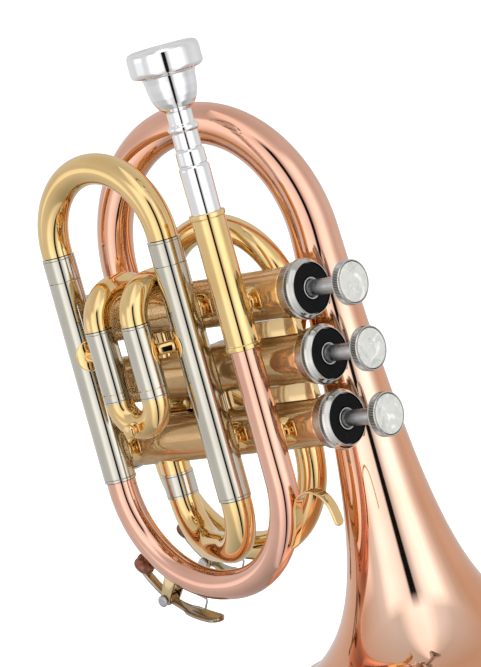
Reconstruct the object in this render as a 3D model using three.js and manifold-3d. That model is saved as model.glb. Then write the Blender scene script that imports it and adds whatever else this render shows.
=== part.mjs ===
// A pocket trumpet, standing on its bell with the mouthpiece up. All lengths are millimetres.
// It is modelled in playing position: X runs forward to the bell, Y to the player's left and Z up to the
// finger buttons, from the axis of the middle valve half way up its casing. At the end it is stood up.
import * as THREE from "three";
import { mergeVertices } from "three/addons/utils/BufferGeometryUtils.js";
import Module from "manifold-3d";

// Clearances, walls and facets
const gap = 0.3;
const weld = 0.0001;
const overrun = 3;
const tubeSides = 12;
const casingSides = 20;
const bendSag = 0.25;

// Valves: casing, piston, caps, stem and button
const valve = {
  spacing: 26.4,
  radius: 9.75,
  wall: 0.85,
  top: 66,
  bottom: -54.7,
  pistonSlack: 0.4,
  pistonTop: 40,
  pistonBottom: -36.5,
  pistonWall: 1,
  portRadius: 4.4,
};
const topCap = {
  face: 71,
  wall: 1.95,
  height: 8.7,
  rimWidth: 1.85,
  collarRadius: 4.4,
  recess: 1.6,
  bevelWidth: 1.5,
  bevelHeight: 2,
};
const bottomCap = {
  face: -64.7,
  wall: 0.85,
  skirt: 3.5,
  flange: 5,
  bevel: 2,
  nubRadius: 4.5,
  nubHeight: 2.5,
  floor: 1.5,
};
const feltThickness = 1;
const button = {
  face: 93.1,
  radius: 8.75,
  thickness: 5.2,
  bevel: 1.6,
  edge: 0.35,
  stemRadius: 3.2,
  rimWidth: 0.6,
  pearlDepth: 1.2,
  pearlRise: 0.4,
};
const spring = { radius: 6, wall: 1 };

// Main tuning loop: leadpipe, front bend, two sleeves and the rear crook, in one plane beside the valves
const tuning = {
  side: -19.5,
  highZ: 18.9,
  lowZ: -42.5,
  sleeveRear: -47.4,
  highFront: 49,
  lowFront: 36.7,
  sleeveRadius: 6.65,
  sleeveWall: 0.6,
  legWall: 0.6,
  legLength: 62,
  ferrule: 10,
  crookRadius: 6.25,
  crookStart: 1.3,
  wall: 0.7,
};
const leadpipe = {
  z: 45.9,
  radius: 5.8,
  bendRadius: 6.05,
  wall: 0.7,
  front: 84,
  highBend: 41.5,
  lowBend: 44.2,
  insert: 12,
};
const receiver = { rear: -65.2, front: -10, radius: 6.7, ringRadius: 7.2, ringLength: 2.1 };
const mouthpiece = { length: 89.1, rimRadius: 14.4, shown: 66.1 };
// Each pair is a share of the mouthpiece's length from its rim and a share of its rim radius.
const mouthpieceOuterShares = [
  [0.0, 0.86], [0.006, 0.95], [0.02, 0.99], [0.035, 1.0], [0.098, 1.0], [0.11, 0.965], [0.118, 0.88],
  [0.122, 0.735], [0.15, 0.7], [0.185, 0.68], [0.22, 0.64], [0.25, 0.57], [0.274, 0.44], [0.29, 0.36],
  [0.302, 0.34], [0.345, 0.342], [0.354, 0.425], [0.363, 0.437], [0.372, 0.425], [0.381, 0.36],
  [0.458, 0.366], [0.464, 0.395], [0.531, 0.4], [0.54, 0.424], [0.741, 0.413], [1.0, 0.34],
];
const mouthpieceBoreShares = [
  [1.0, 0.29], [0.62, 0.21], [0.29, 0.132], [0.25, 0.153], [0.2, 0.31], [0.14, 0.46], [0.08, 0.55],
  [0.03, 0.59], [0.01, 0.66],
];

// Entry crook from the upper sleeve round to the third valve
const entry = { portZ: -30, radius: 6.2, wall: 0.7, bend: 20.5, start: 50.6, ferruleRear: 40.3 };

// Bell: tail out of the first valve, bow round to the left, then the flare
const bell = {
  axisY: 31,
  axisZ: 50.3,
  tailY: 1.2,
  tailZ: -31.6,
  bowX: -42.3,
  bowDepth: 54.3,
  tailRadius: 7.2,
  rimX: 134,
  rimRadius: 57.5,
  flareBeyondRim: 16,
  wall: 1,
  beadLength: 1.6,
  beadRise: 0.2,
  beadWidth: 2.3,
};
const flarePowerShare = 0.71;
const bowGrowthShare = 1.4;
const bellSides = 24;
const bowSteps = 11;
const flareSteps = 9;

// First valve slide, in front of the tuning loop
const first = {
  side: -34,
  highZ: 5.6,
  lowZ: -15,
  sleeveRear: -28,
  sleeveFront: -2.5,
  radius: 5.85,
  sleeveWall: 0.5,
  legWall: 0.6,
  legLength: 20,
  ferrule: 3.8,
  tubeRadius: 5.6,
  wall: 0.7,
  bowBend: 13,
  returnSide: -4,
  knobRadius: 2.9,
  knobHeight: 5,
};

// Second valve slide, out to the left of the middle valve
const second = {
  highZ: 5.4,
  lowZ: -13.7,
  sleeveEnd: 26,
  radius: 5.7,
  tubeRadius: 5.4,
  sleeveWall: 0.6,
  legWall: 0.6,
  legLength: 12,
  ferrule: 3,
  knobRadius: 2.9,
  knobHeight: 5,
};

// Third valve loop, in a plane to the left of the valves
const third = {
  side: 16,
  outSide: 20.5,
  portHighZ: 5.4,
  portLowZ: -13.7,
  arcRear: -54.2,
  arcHighZ: 42.8,
  arcLowZ: -26.5,
  leanX: 6,
  backX: -10,
  bendX: -16,
  sleeveSide: 17.6,
  sleeveHighZ: 28.9,
  sleeveLowZ: -51.6,
  sleeveFront: 36.3,
  sleeveHighRear: 12.6,
  sleeveLowRear: 24.6,
  sleeveRadius: 6.2,
  sleeveWall: 0.55,
  legWall: 0.6,
  legLength: 10.5,
  ferrule: 2,
  crookX: 38.9,
  crookRadius: 6,
  tubeRadius: 5.4,
  wall: 0.7,
  riserRadius: 5.2,
  riserSide: 8.4,
  riserX: 13.2,
  riserTurnX: 18,
  riserTurnZ: -37,
  tightBend: 5.6,
  smallBend: 7,
  easyBend: 12,
};

// Joining pieces between the casings and braces between tubes
const knuckle = {
  radius: 5.3,
  wall: 0.8,
  nearThirdZ: 5.4,
  nearFirstZ: -13.7,
};
const spacer = { lowZ: 28, highZ: 59, thickness: 4.4 };
const brace = { postRadius: 2.4, flangeRadius: 6.2, flangeRise: 0.5 };
const braceX = { bell: 0, slide: -16.2 };
const bellBraceZ = 51;

// Finger hook: a bent strip soldered over the front bend
const hook = { width: 5.2, thickness: 1.3, footFront: 28.7, footRear: 12 };
const hookTop = {
  neckX: 50.6,
  neckZ: 54.5,
  crownX: 48.8,
  crownZ: 60.7,
  shoulderX: 51.1,
  shoulderZ: 66.3,
  archX: 56,
  archZ: 69.5,
  tipX: 63.8,
  tipZ: 71,
};
const hookPoints = 18;

// Water keys: angles are degrees round the bend from forward, minus is down
const key = {
  corkAngle: -53,
  pivotAngle: -35.8,
  paddleAngle: -9,
  nippleRadius: 2.6,
  nippleHeight: 1.4,
  corkRadius: 4.2,
  corkHeight: 3.4,
  cupRadius: 4.4,
  cupWall: 1.1,
  armWidth: 4.4,
  armThickness: 1.7,
  paddleWidth: 9,
  paddleThickness: 2.2,
  paddleFromAngle: -25.5,
  pivotRise: 8.7,
  paddleRise: 7.4,
  barrelRadius: 2.6,
  barrelWidth: 4.4,
  screwRadius: 1,
  screwHeadRadius: 2.4,
  screwHeadHeight: 1.2,
  earThickness: 1.2,
  earWidth: 4.6,
  earTop: 1.9,
  saddleHeight: 1.6,
  wireRadius: 0.45,
  wireFootAngle: -29,
  wireKinkAngle: -15.6,
  wireKinkRise: 1.2,
  wireFoldAngle: -17.2,
  wireFoldRise: 5,
  wireTipAngle: -22.5,
  wireTipRise: 5.4,
  wireBend: 1,
};
const wireSides = 6;
const ringSegments = 48;
const mouthpieceSides = 16;

// Metals and soft materials
function finish(color, roughness, metalness) {
  return new THREE.MeshStandardMaterial({ color, roughness, metalness });
}
const roseBrass = finish(0xd08f78, 0.14, 1);
const yellowBrass = finish(0xdfb765, 0.14, 1);
const nickelSilver = finish(0xc9c5bc, 0.16, 1);
const silverPlate = finish(0xe8e8ea, 0.08, 1);
const steel = finish(0x8b8b8b, 0.3, 1);
const blackFelt = finish(0x111111, 0.9, 0);
const pearl = finish(0xf2f2ee, 0.25, 0);
const cork = finish(0x8a5a44, 0.85, 0);

const wasm = await Module();
wasm.setup();

const forward = new THREE.Vector3(1, 0, 0);
const left = new THREE.Vector3(0, 1, 0);
const up = new THREE.Vector3(0, 0, 1);
const back = forward.clone().negate();
const right = left.clone().negate();
const trumpet = new THREE.Group();

// Places, names and solids
function point(x, y, z) {
  return new THREE.Vector3(x, y, z);
}

function piece(name, geometry, material) {
  const mesh = new THREE.Mesh(geometry, material);
  mesh.name = name;
  trumpet.add(mesh);
  return mesh;
}

function bare(geometry) {
  const copy = geometry.index ? geometry.toNonIndexed() : geometry.clone();
  copy.deleteAttribute("normal");
  copy.deleteAttribute("uv");
  return copy;
}

function solidOf(geometry) {
  const merged = mergeVertices(bare(geometry), weld);
  const vertProperties = merged.attributes.position.array;
  const triVerts = new Uint32Array(merged.index.array);
  return new wasm.Manifold(new wasm.Mesh({ numProp: 3, vertProperties, triVerts }));
}

function geometryOf(solid) {
  const mesh = solid.getMesh();
  const geometry = new THREE.BufferGeometry();
  geometry.setAttribute("position", new THREE.BufferAttribute(mesh.vertProperties, 3));
  geometry.setIndex(new THREE.BufferAttribute(mesh.triVerts, 1));
  return geometry;
}

function cut(geometry, ...tools) {
  const start = solidOf(geometry);
  return geometryOf(tools.reduce((solid, tool) => solid.subtract(solidOf(tool)), start));
}

function joined(geometry, ...others) {
  const start = solidOf(geometry);
  return geometryOf(others.reduce((solid, other) => solid.add(solidOf(other)), start));
}

function shared(geometry, other) {
  return geometryOf(solidOf(geometry).intersect(solidOf(other)));
}

// A turned piece: its outline is pairs of radius and height, run upwards on the outside.
function turned(outline, sides, origin, direction) {
  const points = outline.map(([radius, height]) => new THREE.Vector2(radius, height));
  const geometry = new THREE.LatheGeometry(points, sides);
  const turn = new THREE.Quaternion().setFromUnitVectors(left, direction);
  geometry.applyQuaternion(turn);
  geometry.translate(origin.x, origin.y, origin.z);
  return geometry;
}

function rod(radius, length, sides, origin, direction) {
  return turned([[0, 0], [radius, 0], [radius, length], [0, length]], sides, origin, direction);
}

// The centre line of a bent tube: straight between its corners, each corner rounded to its bend radius.
function bentRoute(corners, bends) {
  const stations = [];
  const last = corners.length - 1;
  const add = (at, along) => {
    const before = stations[stations.length - 1];
    if (!before || before.at.distanceTo(at) > weld) stations.push({ at, along });
  };
  add(corners[0], corners[1].clone().sub(corners[0]).normalize());
  for (let i = 1; i < last; i++) {
    const arriving = corners[i].clone().sub(corners[i - 1]).normalize();
    const leaving = corners[i + 1].clone().sub(corners[i]).normalize();
    const angle = arriving.angleTo(leaving);
    const inward = leaving.clone().addScaledVector(arriving, -arriving.dot(leaving)).normalize();
    const start = corners[i].clone().addScaledVector(arriving, -bends[i - 1] * Math.tan(angle / 2));
    const centre = start.clone().addScaledVector(inward, bends[i - 1]);
    const step = 2 * Math.acos(1 - bendSag / bends[i - 1]);
    const steps = Math.max(2, Math.round(angle / step));
    for (let k = 0; k <= steps; k++) {
      const turn = (angle * k) / steps;
      const at = centre.clone().addScaledVector(inward, -bends[i - 1] * Math.cos(turn));
      at.addScaledVector(arriving, bends[i - 1] * Math.sin(turn));
      const along = arriving.clone().multiplyScalar(Math.cos(turn));
      add(at, along.addScaledVector(inward, Math.sin(turn)));
    }
  }
  add(corners[last], corners[last].clone().sub(corners[last - 1]).normalize());
  return stations;
}

// A tube carried along stations, each with its place, direction, outer radius and bore radius.
function sweptTube(stations, sides, side) {
  const positions = [];
  const rings = [];
  let reference = side.clone();
  for (const station of stations) {
    const { at, along } = station;
    reference = reference.addScaledVector(along, -reference.dot(along)).normalize();
    const across = along.clone().cross(reference);
    const ring = (radius) =>
      Array.from({ length: sides }, (_, j) => {
        const angle = (2 * Math.PI * j) / sides;
        const place = at.clone().addScaledVector(reference, radius * Math.cos(angle));
        return place.addScaledVector(across, radius * Math.sin(angle));
      });
    rings.push({ outer: ring(station.outer), bore: ring(station.bore) });
  }
  const apart = (a, b) => a.distanceTo(b) > weld;
  const face = (a, b, c) => {
    if (apart(a, b) && apart(b, c) && apart(c, a)) {
      positions.push(...a.toArray(), ...b.toArray(), ...c.toArray());
    }
  };
  const band = (from, to, j) => {
    const next = (j + 1) % sides;
    face(from[j], from[next], to[next]);
    face(from[j], to[next], to[j]);
  };
  for (let j = 0; j < sides; j++) {
    for (let i = 1; i < rings.length; i++) {
      band(rings[i - 1].outer, rings[i].outer, j);
      band(rings[i].bore, rings[i - 1].bore, j);
    }
    band(rings[0].bore, rings[0].outer, j);
    band(rings[rings.length - 1].outer, rings[rings.length - 1].bore, j);
  }
  const geometry = new THREE.BufferGeometry();
  geometry.setAttribute("position", new THREE.Float32BufferAttribute(positions, 3));
  return geometry;
}

function pipe(corners, bends, radius, wall, side = left) {
  const stations = bentRoute(corners, bends);
  stations.forEach((station) => Object.assign(station, { outer: radius, bore: radius - wall }));
  return sweptTube(stations, tubeSides, side);
}

// A straight tube along one line, whose outer radius steps at given distances.
function steppedPipe(origin, direction, steps, bore) {
  const stations = steps.map(([distance, outer]) => {
    const at = origin.clone().addScaledVector(direction, distance);
    return { at, along: direction, outer, bore };
  });
  return sweptTube(stations, tubeSides, left);
}

// Valve places and the cylinder that a casing takes out of its neighbours
const valveX = [-valve.spacing, 0, valve.spacing];
const boreRadius = valve.radius - valve.wall;
const skirtBore = valve.radius + gap;
const topCapRadius = skirtBore + topCap.wall;
const bottomCapRadius = skirtBore + bottomCap.wall;

function casingSpace(x) {
  const length = valve.top - valve.bottom;
  return rod(valve.radius + gap, length, casingSides, point(x, 0, valve.bottom), up);
}

function portHole(x, z, direction, y = 0) {
  return rod(valve.portRadius, valve.radius + overrun, tubeSides, point(x, y, z), direction);
}

// Which way each valve's ports look, and how high they are
const riserWay = point(third.riserX - valve.spacing, third.riserSide, 0).normalize();
const ports = [
  [
    { z: bell.tailZ, way: back, y: bell.tailY },
    { z: first.lowZ, way: back, y: first.returnSide },
    { z: first.highZ, way: back, y: first.returnSide },
    { z: knuckle.nearFirstZ, way: forward },
  ],
  [
    { z: knuckle.nearFirstZ, way: back },
    { z: knuckle.nearThirdZ, way: forward },
    { z: second.highZ, way: left },
    { z: second.lowZ, way: left },
  ],
  [
    { z: entry.portZ, way: forward },
    { z: knuckle.nearThirdZ, way: back },
    { z: third.portHighZ, way: left },
    { z: third.portLowZ, way: riserWay },
  ],
];

function makeCasing(x, index) {
  const length = valve.top - valve.bottom;
  const shell = turned(
    [[boreRadius, 0], [valve.radius, 0], [valve.radius, length], [boreRadius, length], [boreRadius, 0]],
    casingSides,
    point(x, 0, valve.bottom),
    up,
  );
  const holes = ports[index].map(({ z, way, y }) => portHole(x, z, way, y));
  piece(`valve_casing_${index + 1}`, cut(shell, ...holes), yellowBrass);
}

function makePiston(x, index) {
  const radius = boreRadius - valve.pistonSlack;
  const length = valve.pistonTop - valve.pistonBottom;
  const base = point(x, 0, valve.pistonBottom);
  const body = rod(radius, length, casingSides, base, up);
  const inside = base.clone().addScaledVector(up, valve.pistonWall);
  const hollow = rod(radius - valve.pistonWall, length - 2 * valve.pistonWall, tubeSides, inside, up);
  const holes = ports[index].map(({ z, way, y }) => portHole(x, z, way, y));
  piece(`piston_${index + 1}`, cut(body, hollow, ...holes), nickelSilver);
}

function makeTopCap(x, index) {
  const bottom = topCap.face - topCap.height;
  const stemHole = button.stemRadius + gap;
  const web = valve.top + gap;
  const feltRadius = topCapRadius - topCap.rimWidth;
  const outline = [
    [stemHole, web],
    [skirtBore, web],
    [skirtBore, bottom],
    [topCapRadius, bottom],
    [topCapRadius, topCap.face - topCap.bevelHeight],
    [topCapRadius - topCap.bevelWidth, topCap.face],
    [feltRadius, topCap.face],
    [feltRadius, topCap.face - topCap.recess],
    [topCap.collarRadius, topCap.face - topCap.recess],
    [topCap.collarRadius, topCap.face],
    [stemHole, topCap.face],
    [stemHole, web],
  ];
  piece(`top_cap_${index + 1}`, turned(outline, casingSides, point(x, 0, 0), up), nickelSilver);
  const inner = topCap.collarRadius + gap;
  const outer = feltRadius - gap;
  const floor = topCap.face - topCap.recess + gap;
  const ring = [
    [inner, 0],
    [outer, 0],
    [outer, feltThickness],
    [inner, feltThickness],
    [inner, 0],
  ];
  piece(`cap_felt_${index + 1}`, turned(ring, casingSides, point(x, 0, floor), up), blackFelt);
}

function makeBottomCap(x, index) {
  const top = valve.bottom + bottomCap.skirt;
  const low = valve.bottom - bottomCap.flange;
  const inside = valve.bottom - gap;
  const face = bottomCap.face + bottomCap.nubHeight;
  const outline = [
    [0, bottomCap.face],
    [bottomCap.nubRadius, bottomCap.face],
    [bottomCap.nubRadius, face],
    [bottomCapRadius - bottomCap.bevel, face],
    [bottomCapRadius, low],
    [bottomCapRadius, top],
    [skirtBore, top],
    [skirtBore, inside],
    [boreRadius, inside],
    [boreRadius, inside - bottomCap.floor],
    [0, inside - bottomCap.floor],
  ];
  piece(`bottom_cap_${index + 1}`, turned(outline, casingSides, point(x, 0, 0), up), nickelSilver);
}

function makeSpring(x, index) {
  const base = valve.bottom - bottomCap.floor;
  const length = valve.pistonBottom - base - gap;
  const bore = spring.radius - spring.wall;
  const outline = [[bore, 0], [spring.radius, 0], [spring.radius, length], [bore, length], [bore, 0]];
  piece(`valve_spring_${index + 1}`, turned(outline, tubeSides, point(x, 0, base), up), steel);
}

function makeButton(x, index) {
  const under = button.face - button.thickness;
  const seatRadius = button.radius - button.rimWidth;
  const pearlRadius = seatRadius - gap;
  const seat = button.face - button.pearlDepth - gap;
  const outline = [
    [0, valve.pistonTop + gap],
    [button.stemRadius, valve.pistonTop + gap],
    [button.stemRadius, under],
    [button.radius - button.bevel, under],
    [button.radius, under + button.bevel],
    [button.radius, button.face - button.edge],
    [button.radius - button.edge, button.face],
    [seatRadius, button.face],
    [seatRadius, seat],
    [0, seat],
  ];
  piece(`finger_button_${index + 1}`, turned(outline, casingSides, point(x, 0, 0), up), nickelSilver);
  const disc = [
    [0, 0],
    [pearlRadius, 0],
    [pearlRadius, button.pearlDepth],
    [pearlRadius - button.edge, button.pearlDepth + button.pearlRise / 2],
    [0, button.pearlDepth + button.pearlRise],
  ];
  piece(`button_pearl_${index + 1}`, turned(disc, casingSides, point(x, 0, seat + gap), up), pearl);
}

valveX.forEach((x, index) => {
  makeCasing(x, index);
  makePiston(x, index);
  makeTopCap(x, index);
  makeBottomCap(x, index);
  makeSpring(x, index);
  makeButton(x, index);
});

// Short tubes and flat spacers from casing to casing
function spacerBar(from) {
  const height = spacer.highZ - spacer.lowZ;
  const bar = new THREE.BoxGeometry(valve.spacing, spacer.thickness, height);
  bar.translate(valveX[from] + valve.spacing / 2, 0, spacer.lowZ + height / 2);
  return bar;
}
[knuckle.nearFirstZ, knuckle.nearThirdZ].forEach((z, from) => {
  const label = `${from + 1}_${from + 2}`;
  const spaces = [casingSpace(valveX[from]), casingSpace(valveX[from + 1])];
  const ends = [point(valveX[from], 0, z), point(valveX[from + 1], 0, z)];
  const tube = pipe(ends, [], knuckle.radius, knuckle.wall);
  piece(`knuckle_${label}`, cut(tube, ...spaces), yellowBrass);
  piece(`casing_spacer_${label}`, cut(spacerBar(from), ...spaces), nickelSilver);
});

// A long cylinder along a tube, through a place on its axis
function tubeSpace(at, radius, axis = forward) {
  const half = 2 * overrun + brace.flangeRadius;
  return rod(radius, 2 * half, 2 * tubeSides, at.clone().addScaledVector(axis, -half), axis);
}

// Braces: a post between two tubes, with a round saddle that hugs the tube at each end
function bracePost(ends, flangeRadius) {
  const [from, to] = ends;
  const length = from.at.distanceTo(to.at);
  const way = to.at.clone().sub(from.at).normalize();
  const post = rod(brace.postRadius, length, tubeSides, from.at, way);
  const saddle = ({ at, radius, axis }, out) => {
    const skin = radius + brace.flangeRise;
    return shared(rod(flangeRadius, skin, tubeSides, at, out), tubeSpace(at, skin, axis));
  };
  const whole = joined(post, saddle(from, way), saddle(to, way.clone().negate()));
  return cut(whole, ...ends.map(({ at, radius, axis, sink }) => tubeSpace(at, radius - sink, axis)));
}

// A post soldered to a tube of the tuning loop, which reaches to a casing
function tubeToCasing(x, z, radius, wall) {
  const tube = { at: point(x, tuning.side, z), radius, axis: forward, sink: wall / 2 };
  const casing = { at: point(x, 0, z), radius: valve.radius, axis: up, sink: -gap };
  return bracePost([tube, casing], brace.flangeRadius);
}

// Mouthpiece, receiver and leadpipe on one line
const leadLine = (x) => point(x, tuning.side, leadpipe.z);
const rimX = receiver.rear - mouthpiece.shown;

function makeMouthpiece() {
  const place = ([lengthShare, radiusShare]) => [
    radiusShare * mouthpiece.rimRadius,
    -lengthShare * mouthpiece.length,
  ];
  const outer = mouthpieceOuterShares.map(place).reverse();
  const bore = mouthpieceBoreShares.map(place).reverse();
  const outline = [...outer, ...bore, outer[0]];
  piece("mouthpiece", turned(outline, mouthpieceSides, leadLine(rimX), back), silverPlate);
}
makeMouthpiece();

const shankRadius = mouthpieceOuterShares[mouthpieceOuterShares.length - 2][1] * mouthpiece.rimRadius;
const receiverLength = receiver.front - receiver.rear;

function makeReceiver() {
  const bore = Math.max(shankRadius, leadpipe.radius) + gap;
  const steps = [
    [0, receiver.ringRadius],
    [receiver.ringLength, receiver.ringRadius],
    [receiver.ringLength, receiver.radius],
    [receiverLength - receiver.ringLength, receiver.radius],
    [receiverLength - receiver.ringLength, receiver.ringRadius],
    [receiverLength, receiver.ringRadius],
  ];
  const tube = steppedPipe(leadLine(receiver.rear), forward, steps, bore);
  const post = tubeToCasing(valveX[0], leadpipe.z, receiver.radius, receiver.radius - bore);
  piece("mouthpiece_receiver", joined(tube, post), yellowBrass);
}
makeReceiver();

const { highBend, lowBend } = leadpipe;
const highCentre = point(leadpipe.front - highBend, tuning.side, leadpipe.z - highBend);
const lowCentre = point(leadpipe.front - lowBend, tuning.side, tuning.lowZ + lowBend);

function makeLeadpipe() {
  const corners = [
    leadLine(receiver.front - leadpipe.insert),
    leadLine(leadpipe.front),
    point(leadpipe.front, tuning.side, tuning.lowZ),
    point(tuning.lowFront + gap, tuning.side, tuning.lowZ),
  ];
  const stations = bentRoute(corners, [highBend, lowBend]);
  stations.forEach((station, i) => {
    const outer = i === 0 ? leadpipe.radius : leadpipe.bendRadius;
    Object.assign(station, { outer, bore: outer - leadpipe.wall });
  });
  const tube = sweptTube(stations, tubeSides, left);
  const post = tubeToCasing(valveX[2], leadpipe.z, leadpipe.bendRadius, leadpipe.wall);
  const seats = keySeats(lowCentre, lowBend, leadpipe.bendRadius, leadpipe.wall);
  piece("leadpipe", joined(tube, post, ...seats), roseBrass);
}

// Tuning slide: sleeves stay, the crook with its two legs and ferrules pulls out to the rear
const tuningLegRadius = tuning.sleeveRadius - tuning.sleeveWall - gap;
const crookEnd = tuning.sleeveRear - gap - tuning.ferrule;
const tuningLegs = [
  { name: "high", z: tuning.highZ, front: tuning.highFront },
  { name: "low", z: tuning.lowZ, front: tuning.lowFront },
];
tuningLegs.forEach(({ name, z, front }) => {
  const ends = [point(tuning.sleeveRear, tuning.side, z), point(front, tuning.side, z)];
  const sleeve = pipe(ends, [], tuning.sleeveRadius, tuning.sleeveWall);
  const posts = [valveX[0], valveX[2]].map((x) =>
    tubeToCasing(x, z, tuning.sleeveRadius, tuning.sleeveWall),
  );
  piece(`tuning_sleeve_${name}`, joined(sleeve, ...posts), nickelSilver);
  piece(`tuning_slide_leg_${name}`, tuningLeg(z), nickelSilver);
});

function tuningLeg(z) {
  const steps = [
    [0, tuning.sleeveRadius],
    [tuning.ferrule, tuning.sleeveRadius],
    [tuning.ferrule, tuningLegRadius],
    [tuning.ferrule + tuning.legLength, tuningLegRadius],
  ];
  return steppedPipe(point(crookEnd, tuning.side, z), forward, steps, tuningLegRadius - tuning.legWall);
}

function makeTuningCrook() {
  const bend = (tuning.highZ - tuning.lowZ) / 2;
  const start = crookEnd - gap;
  const rear = start - tuning.crookStart - bend;
  const place = (x, z) => point(x, tuning.side, z);
  const corners = [
    place(start, tuning.highZ),
    place(rear, tuning.highZ),
    place(rear, tuning.lowZ),
    place(start, tuning.lowZ),
  ];
  piece("tuning_slide_crook", pipe(corners, [bend, bend], tuning.crookRadius, tuning.wall), yellowBrass);
}
makeTuningCrook();

// Entry crook: one soldered tube from the high sleeve to the third casing, with a ferrule on it
function makeEntry() {
  const front = entry.start + entry.bend;
  const lowLine = (x) => point(x, 0, entry.portZ);
  const corners = [
    point(tuning.highFront + gap, tuning.side, tuning.highZ),
    point(front, tuning.side, tuning.highZ),
    lowLine(front),
    lowLine(entry.start),
  ];
  const across = corners[2].clone().sub(corners[1]).cross(forward).normalize();
  const bore = entry.radius - entry.wall;
  const stations = bentRoute(corners, [entry.bend, entry.bend]);
  stations.forEach((station) => Object.assign(station, { outer: entry.radius, bore }));
  const ring = (x, outer) => ({ at: lowLine(x), along: back, outer, bore });
  stations.push(ring(entry.start, tuning.sleeveRadius), ring(entry.ferruleRear, tuning.sleeveRadius));
  stations.push(ring(entry.ferruleRear, entry.radius), ring(valveX[2], entry.radius));
  piece("entry_crook", cut(sweptTube(stations, tubeSides, across), casingSpace(valveX[2])), yellowBrass);
}
makeEntry();

// Bell: one long flaring tube
function flareRadius(x) {
  const beyond = (bell.rimX - x + bell.flareBeyondRim) / bell.flareBeyondRim;
  return bell.rimRadius * beyond ** -flarePowerShare;
}

const beadX = bell.rimX - bell.beadLength;

function bellStations() {
  const tail = point(0, bell.tailY, bell.tailZ);
  const axis = point(0, bell.axisY, bell.axisZ);
  const middle = tail.clone().add(axis).divideScalar(2);
  const half = axis.clone().sub(tail).divideScalar(2);
  const bowEnd = flareRadius(bell.bowX);
  const ring = (at, along, outer, bore) => ({ at, along, outer, bore });
  const tailStart = point(valveX[0], bell.tailY, bell.tailZ);
  const stations = [ring(tailStart, back, bell.tailRadius, bell.tailRadius - bell.wall)];
  for (let i = 0; i <= bowSteps; i++) {
    const turn = (Math.PI * i) / bowSteps;
    const at = middle.clone().addScaledVector(half, -Math.cos(turn));
    at.x = bell.bowX - bell.bowDepth * Math.sin(turn);
    const along = half.clone().multiplyScalar(Math.sin(turn));
    along.x = -bell.bowDepth * Math.cos(turn);
    const growth = (i / bowSteps) ** bowGrowthShare;
    const outer = bell.tailRadius + (bowEnd - bell.tailRadius) * growth;
    stations.push(ring(at, along.normalize(), outer, outer - bell.wall));
  }
  const far = bell.rimX - bell.bowX + bell.flareBeyondRim;
  const near = bell.beadLength + bell.flareBeyondRim;
  for (let i = 1; i <= flareSteps; i++) {
    const x = bell.rimX + bell.flareBeyondRim - far * (near / far) ** (i / flareSteps);
    const outer = flareRadius(x);
    stations.push(ring(point(x, bell.axisY, bell.axisZ), forward, outer, outer - bell.wall));
  }
  const bore = bell.rimRadius - bell.beadWidth;
  const bead = point(beadX + bell.beadRise, bell.axisY, bell.axisZ);
  stations.push(ring(bead, forward, bell.rimRadius, flareRadius(beadX)));
  stations.push(ring(point(bell.rimX, bell.axisY, bell.axisZ), forward, bell.rimRadius, bore));
  return { stations, across: half.clone().cross(forward).normalize() };
}

function makeBell() {
  const { stations, across } = bellStations();
  piece("bell", cut(sweptTube(stations, bellSides, across), casingSpace(valveX[0])), roseBrass);
}
makeBell();

// First slide: bows out of the first casing, sleeves, and the crook that pulls forward
const firstLegRadius = first.radius - first.sleeveWall - gap;
const firstFerruleX = first.sleeveFront + gap;

function firstBow(z) {
  const start = first.sleeveRear - gap;
  const rear = start - first.bowBend;
  const corners = [
    point(start, first.side, z),
    point(rear, first.side, z),
    point(rear, first.returnSide, z),
    point(valveX[0], first.returnSide, z),
  ];
  const tube = pipe(corners, [first.bowBend, first.bowBend], first.tubeRadius, first.wall, up);
  return cut(tube, casingSpace(valveX[0]));
}

// A sleeve of the first slide with its post to the tuning sleeve behind it
function firstSleeve(z, tuningZ) {
  const ends = [point(first.sleeveRear, first.side, z), point(first.sleeveFront, first.side, z)];
  const sleeve = pipe(ends, [], first.radius, first.sleeveWall);
  const near = {
    at: point(braceX.slide, first.side, z),
    radius: first.radius,
    axis: forward,
    sink: first.sleeveWall / 2,
  };
  const far = {
    at: point(braceX.slide, tuning.side, tuningZ),
    radius: tuning.sleeveRadius,
    axis: forward,
    sink: -gap,
  };
  return joined(sleeve, bracePost([near, far], brace.flangeRadius));
}

// The leg of a slide, then its ferrule, run into the crook's tube
function legStations(start, along, leg, ferrule, legRadius, ferruleRadius, bore) {
  const ring = (distance, outer) => {
    const at = start.clone().addScaledVector(along, distance);
    return { at, along, outer, bore };
  };
  return [
    ring(0, legRadius),
    ring(leg, legRadius),
    ring(leg, ferruleRadius),
    ring(leg + ferrule, ferruleRadius),
  ];
}

// A pull-out crook: leg, ferrule, half round, ferrule and leg, all soldered into one tube
function slideCrook(high, low, along, sizes) {
  const { leg, ferrule, straight, legRadius, ferruleRadius, tubeRadius, bore } = sizes;
  const bend = high.distanceTo(low) / 2;
  const reach = leg + ferrule;
  const beyond = reach + straight + bend;
  const out = (from, distance) => from.clone().addScaledVector(along, distance);
  const corners = [out(high, reach), out(high, beyond), out(low, beyond), out(low, reach)];
  const crook = bentRoute(corners, [bend, bend]);
  crook.forEach((station) => Object.assign(station, { outer: tubeRadius, bore }));
  const legOf = (from) => legStations(from, along, leg, ferrule, legRadius, ferruleRadius, bore);
  const home = along.clone().negate();
  const lowLeg = legOf(low).reverse().map((station) => ({ ...station, along: home }));
  const across = high.clone().sub(low).cross(along).normalize();
  return sweptTube([...legOf(high), ...crook, ...lowLeg], tubeSides, across);
}

// Each pair is a share of a knob's radius and a share of its height.
const knobShares = [[0, 0], [1, 0], [1, 0.2], [0.5, 0.4], [0.5, 0.6], [1, 0.8], [1, 1], [0, 1]];

function slideKnob(origin, direction, radius, height) {
  const place = ([radiusShare, heightShare]) => [radiusShare * radius, heightShare * height];
  return turned(knobShares.map(place), tubeSides, origin, direction);
}

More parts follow.
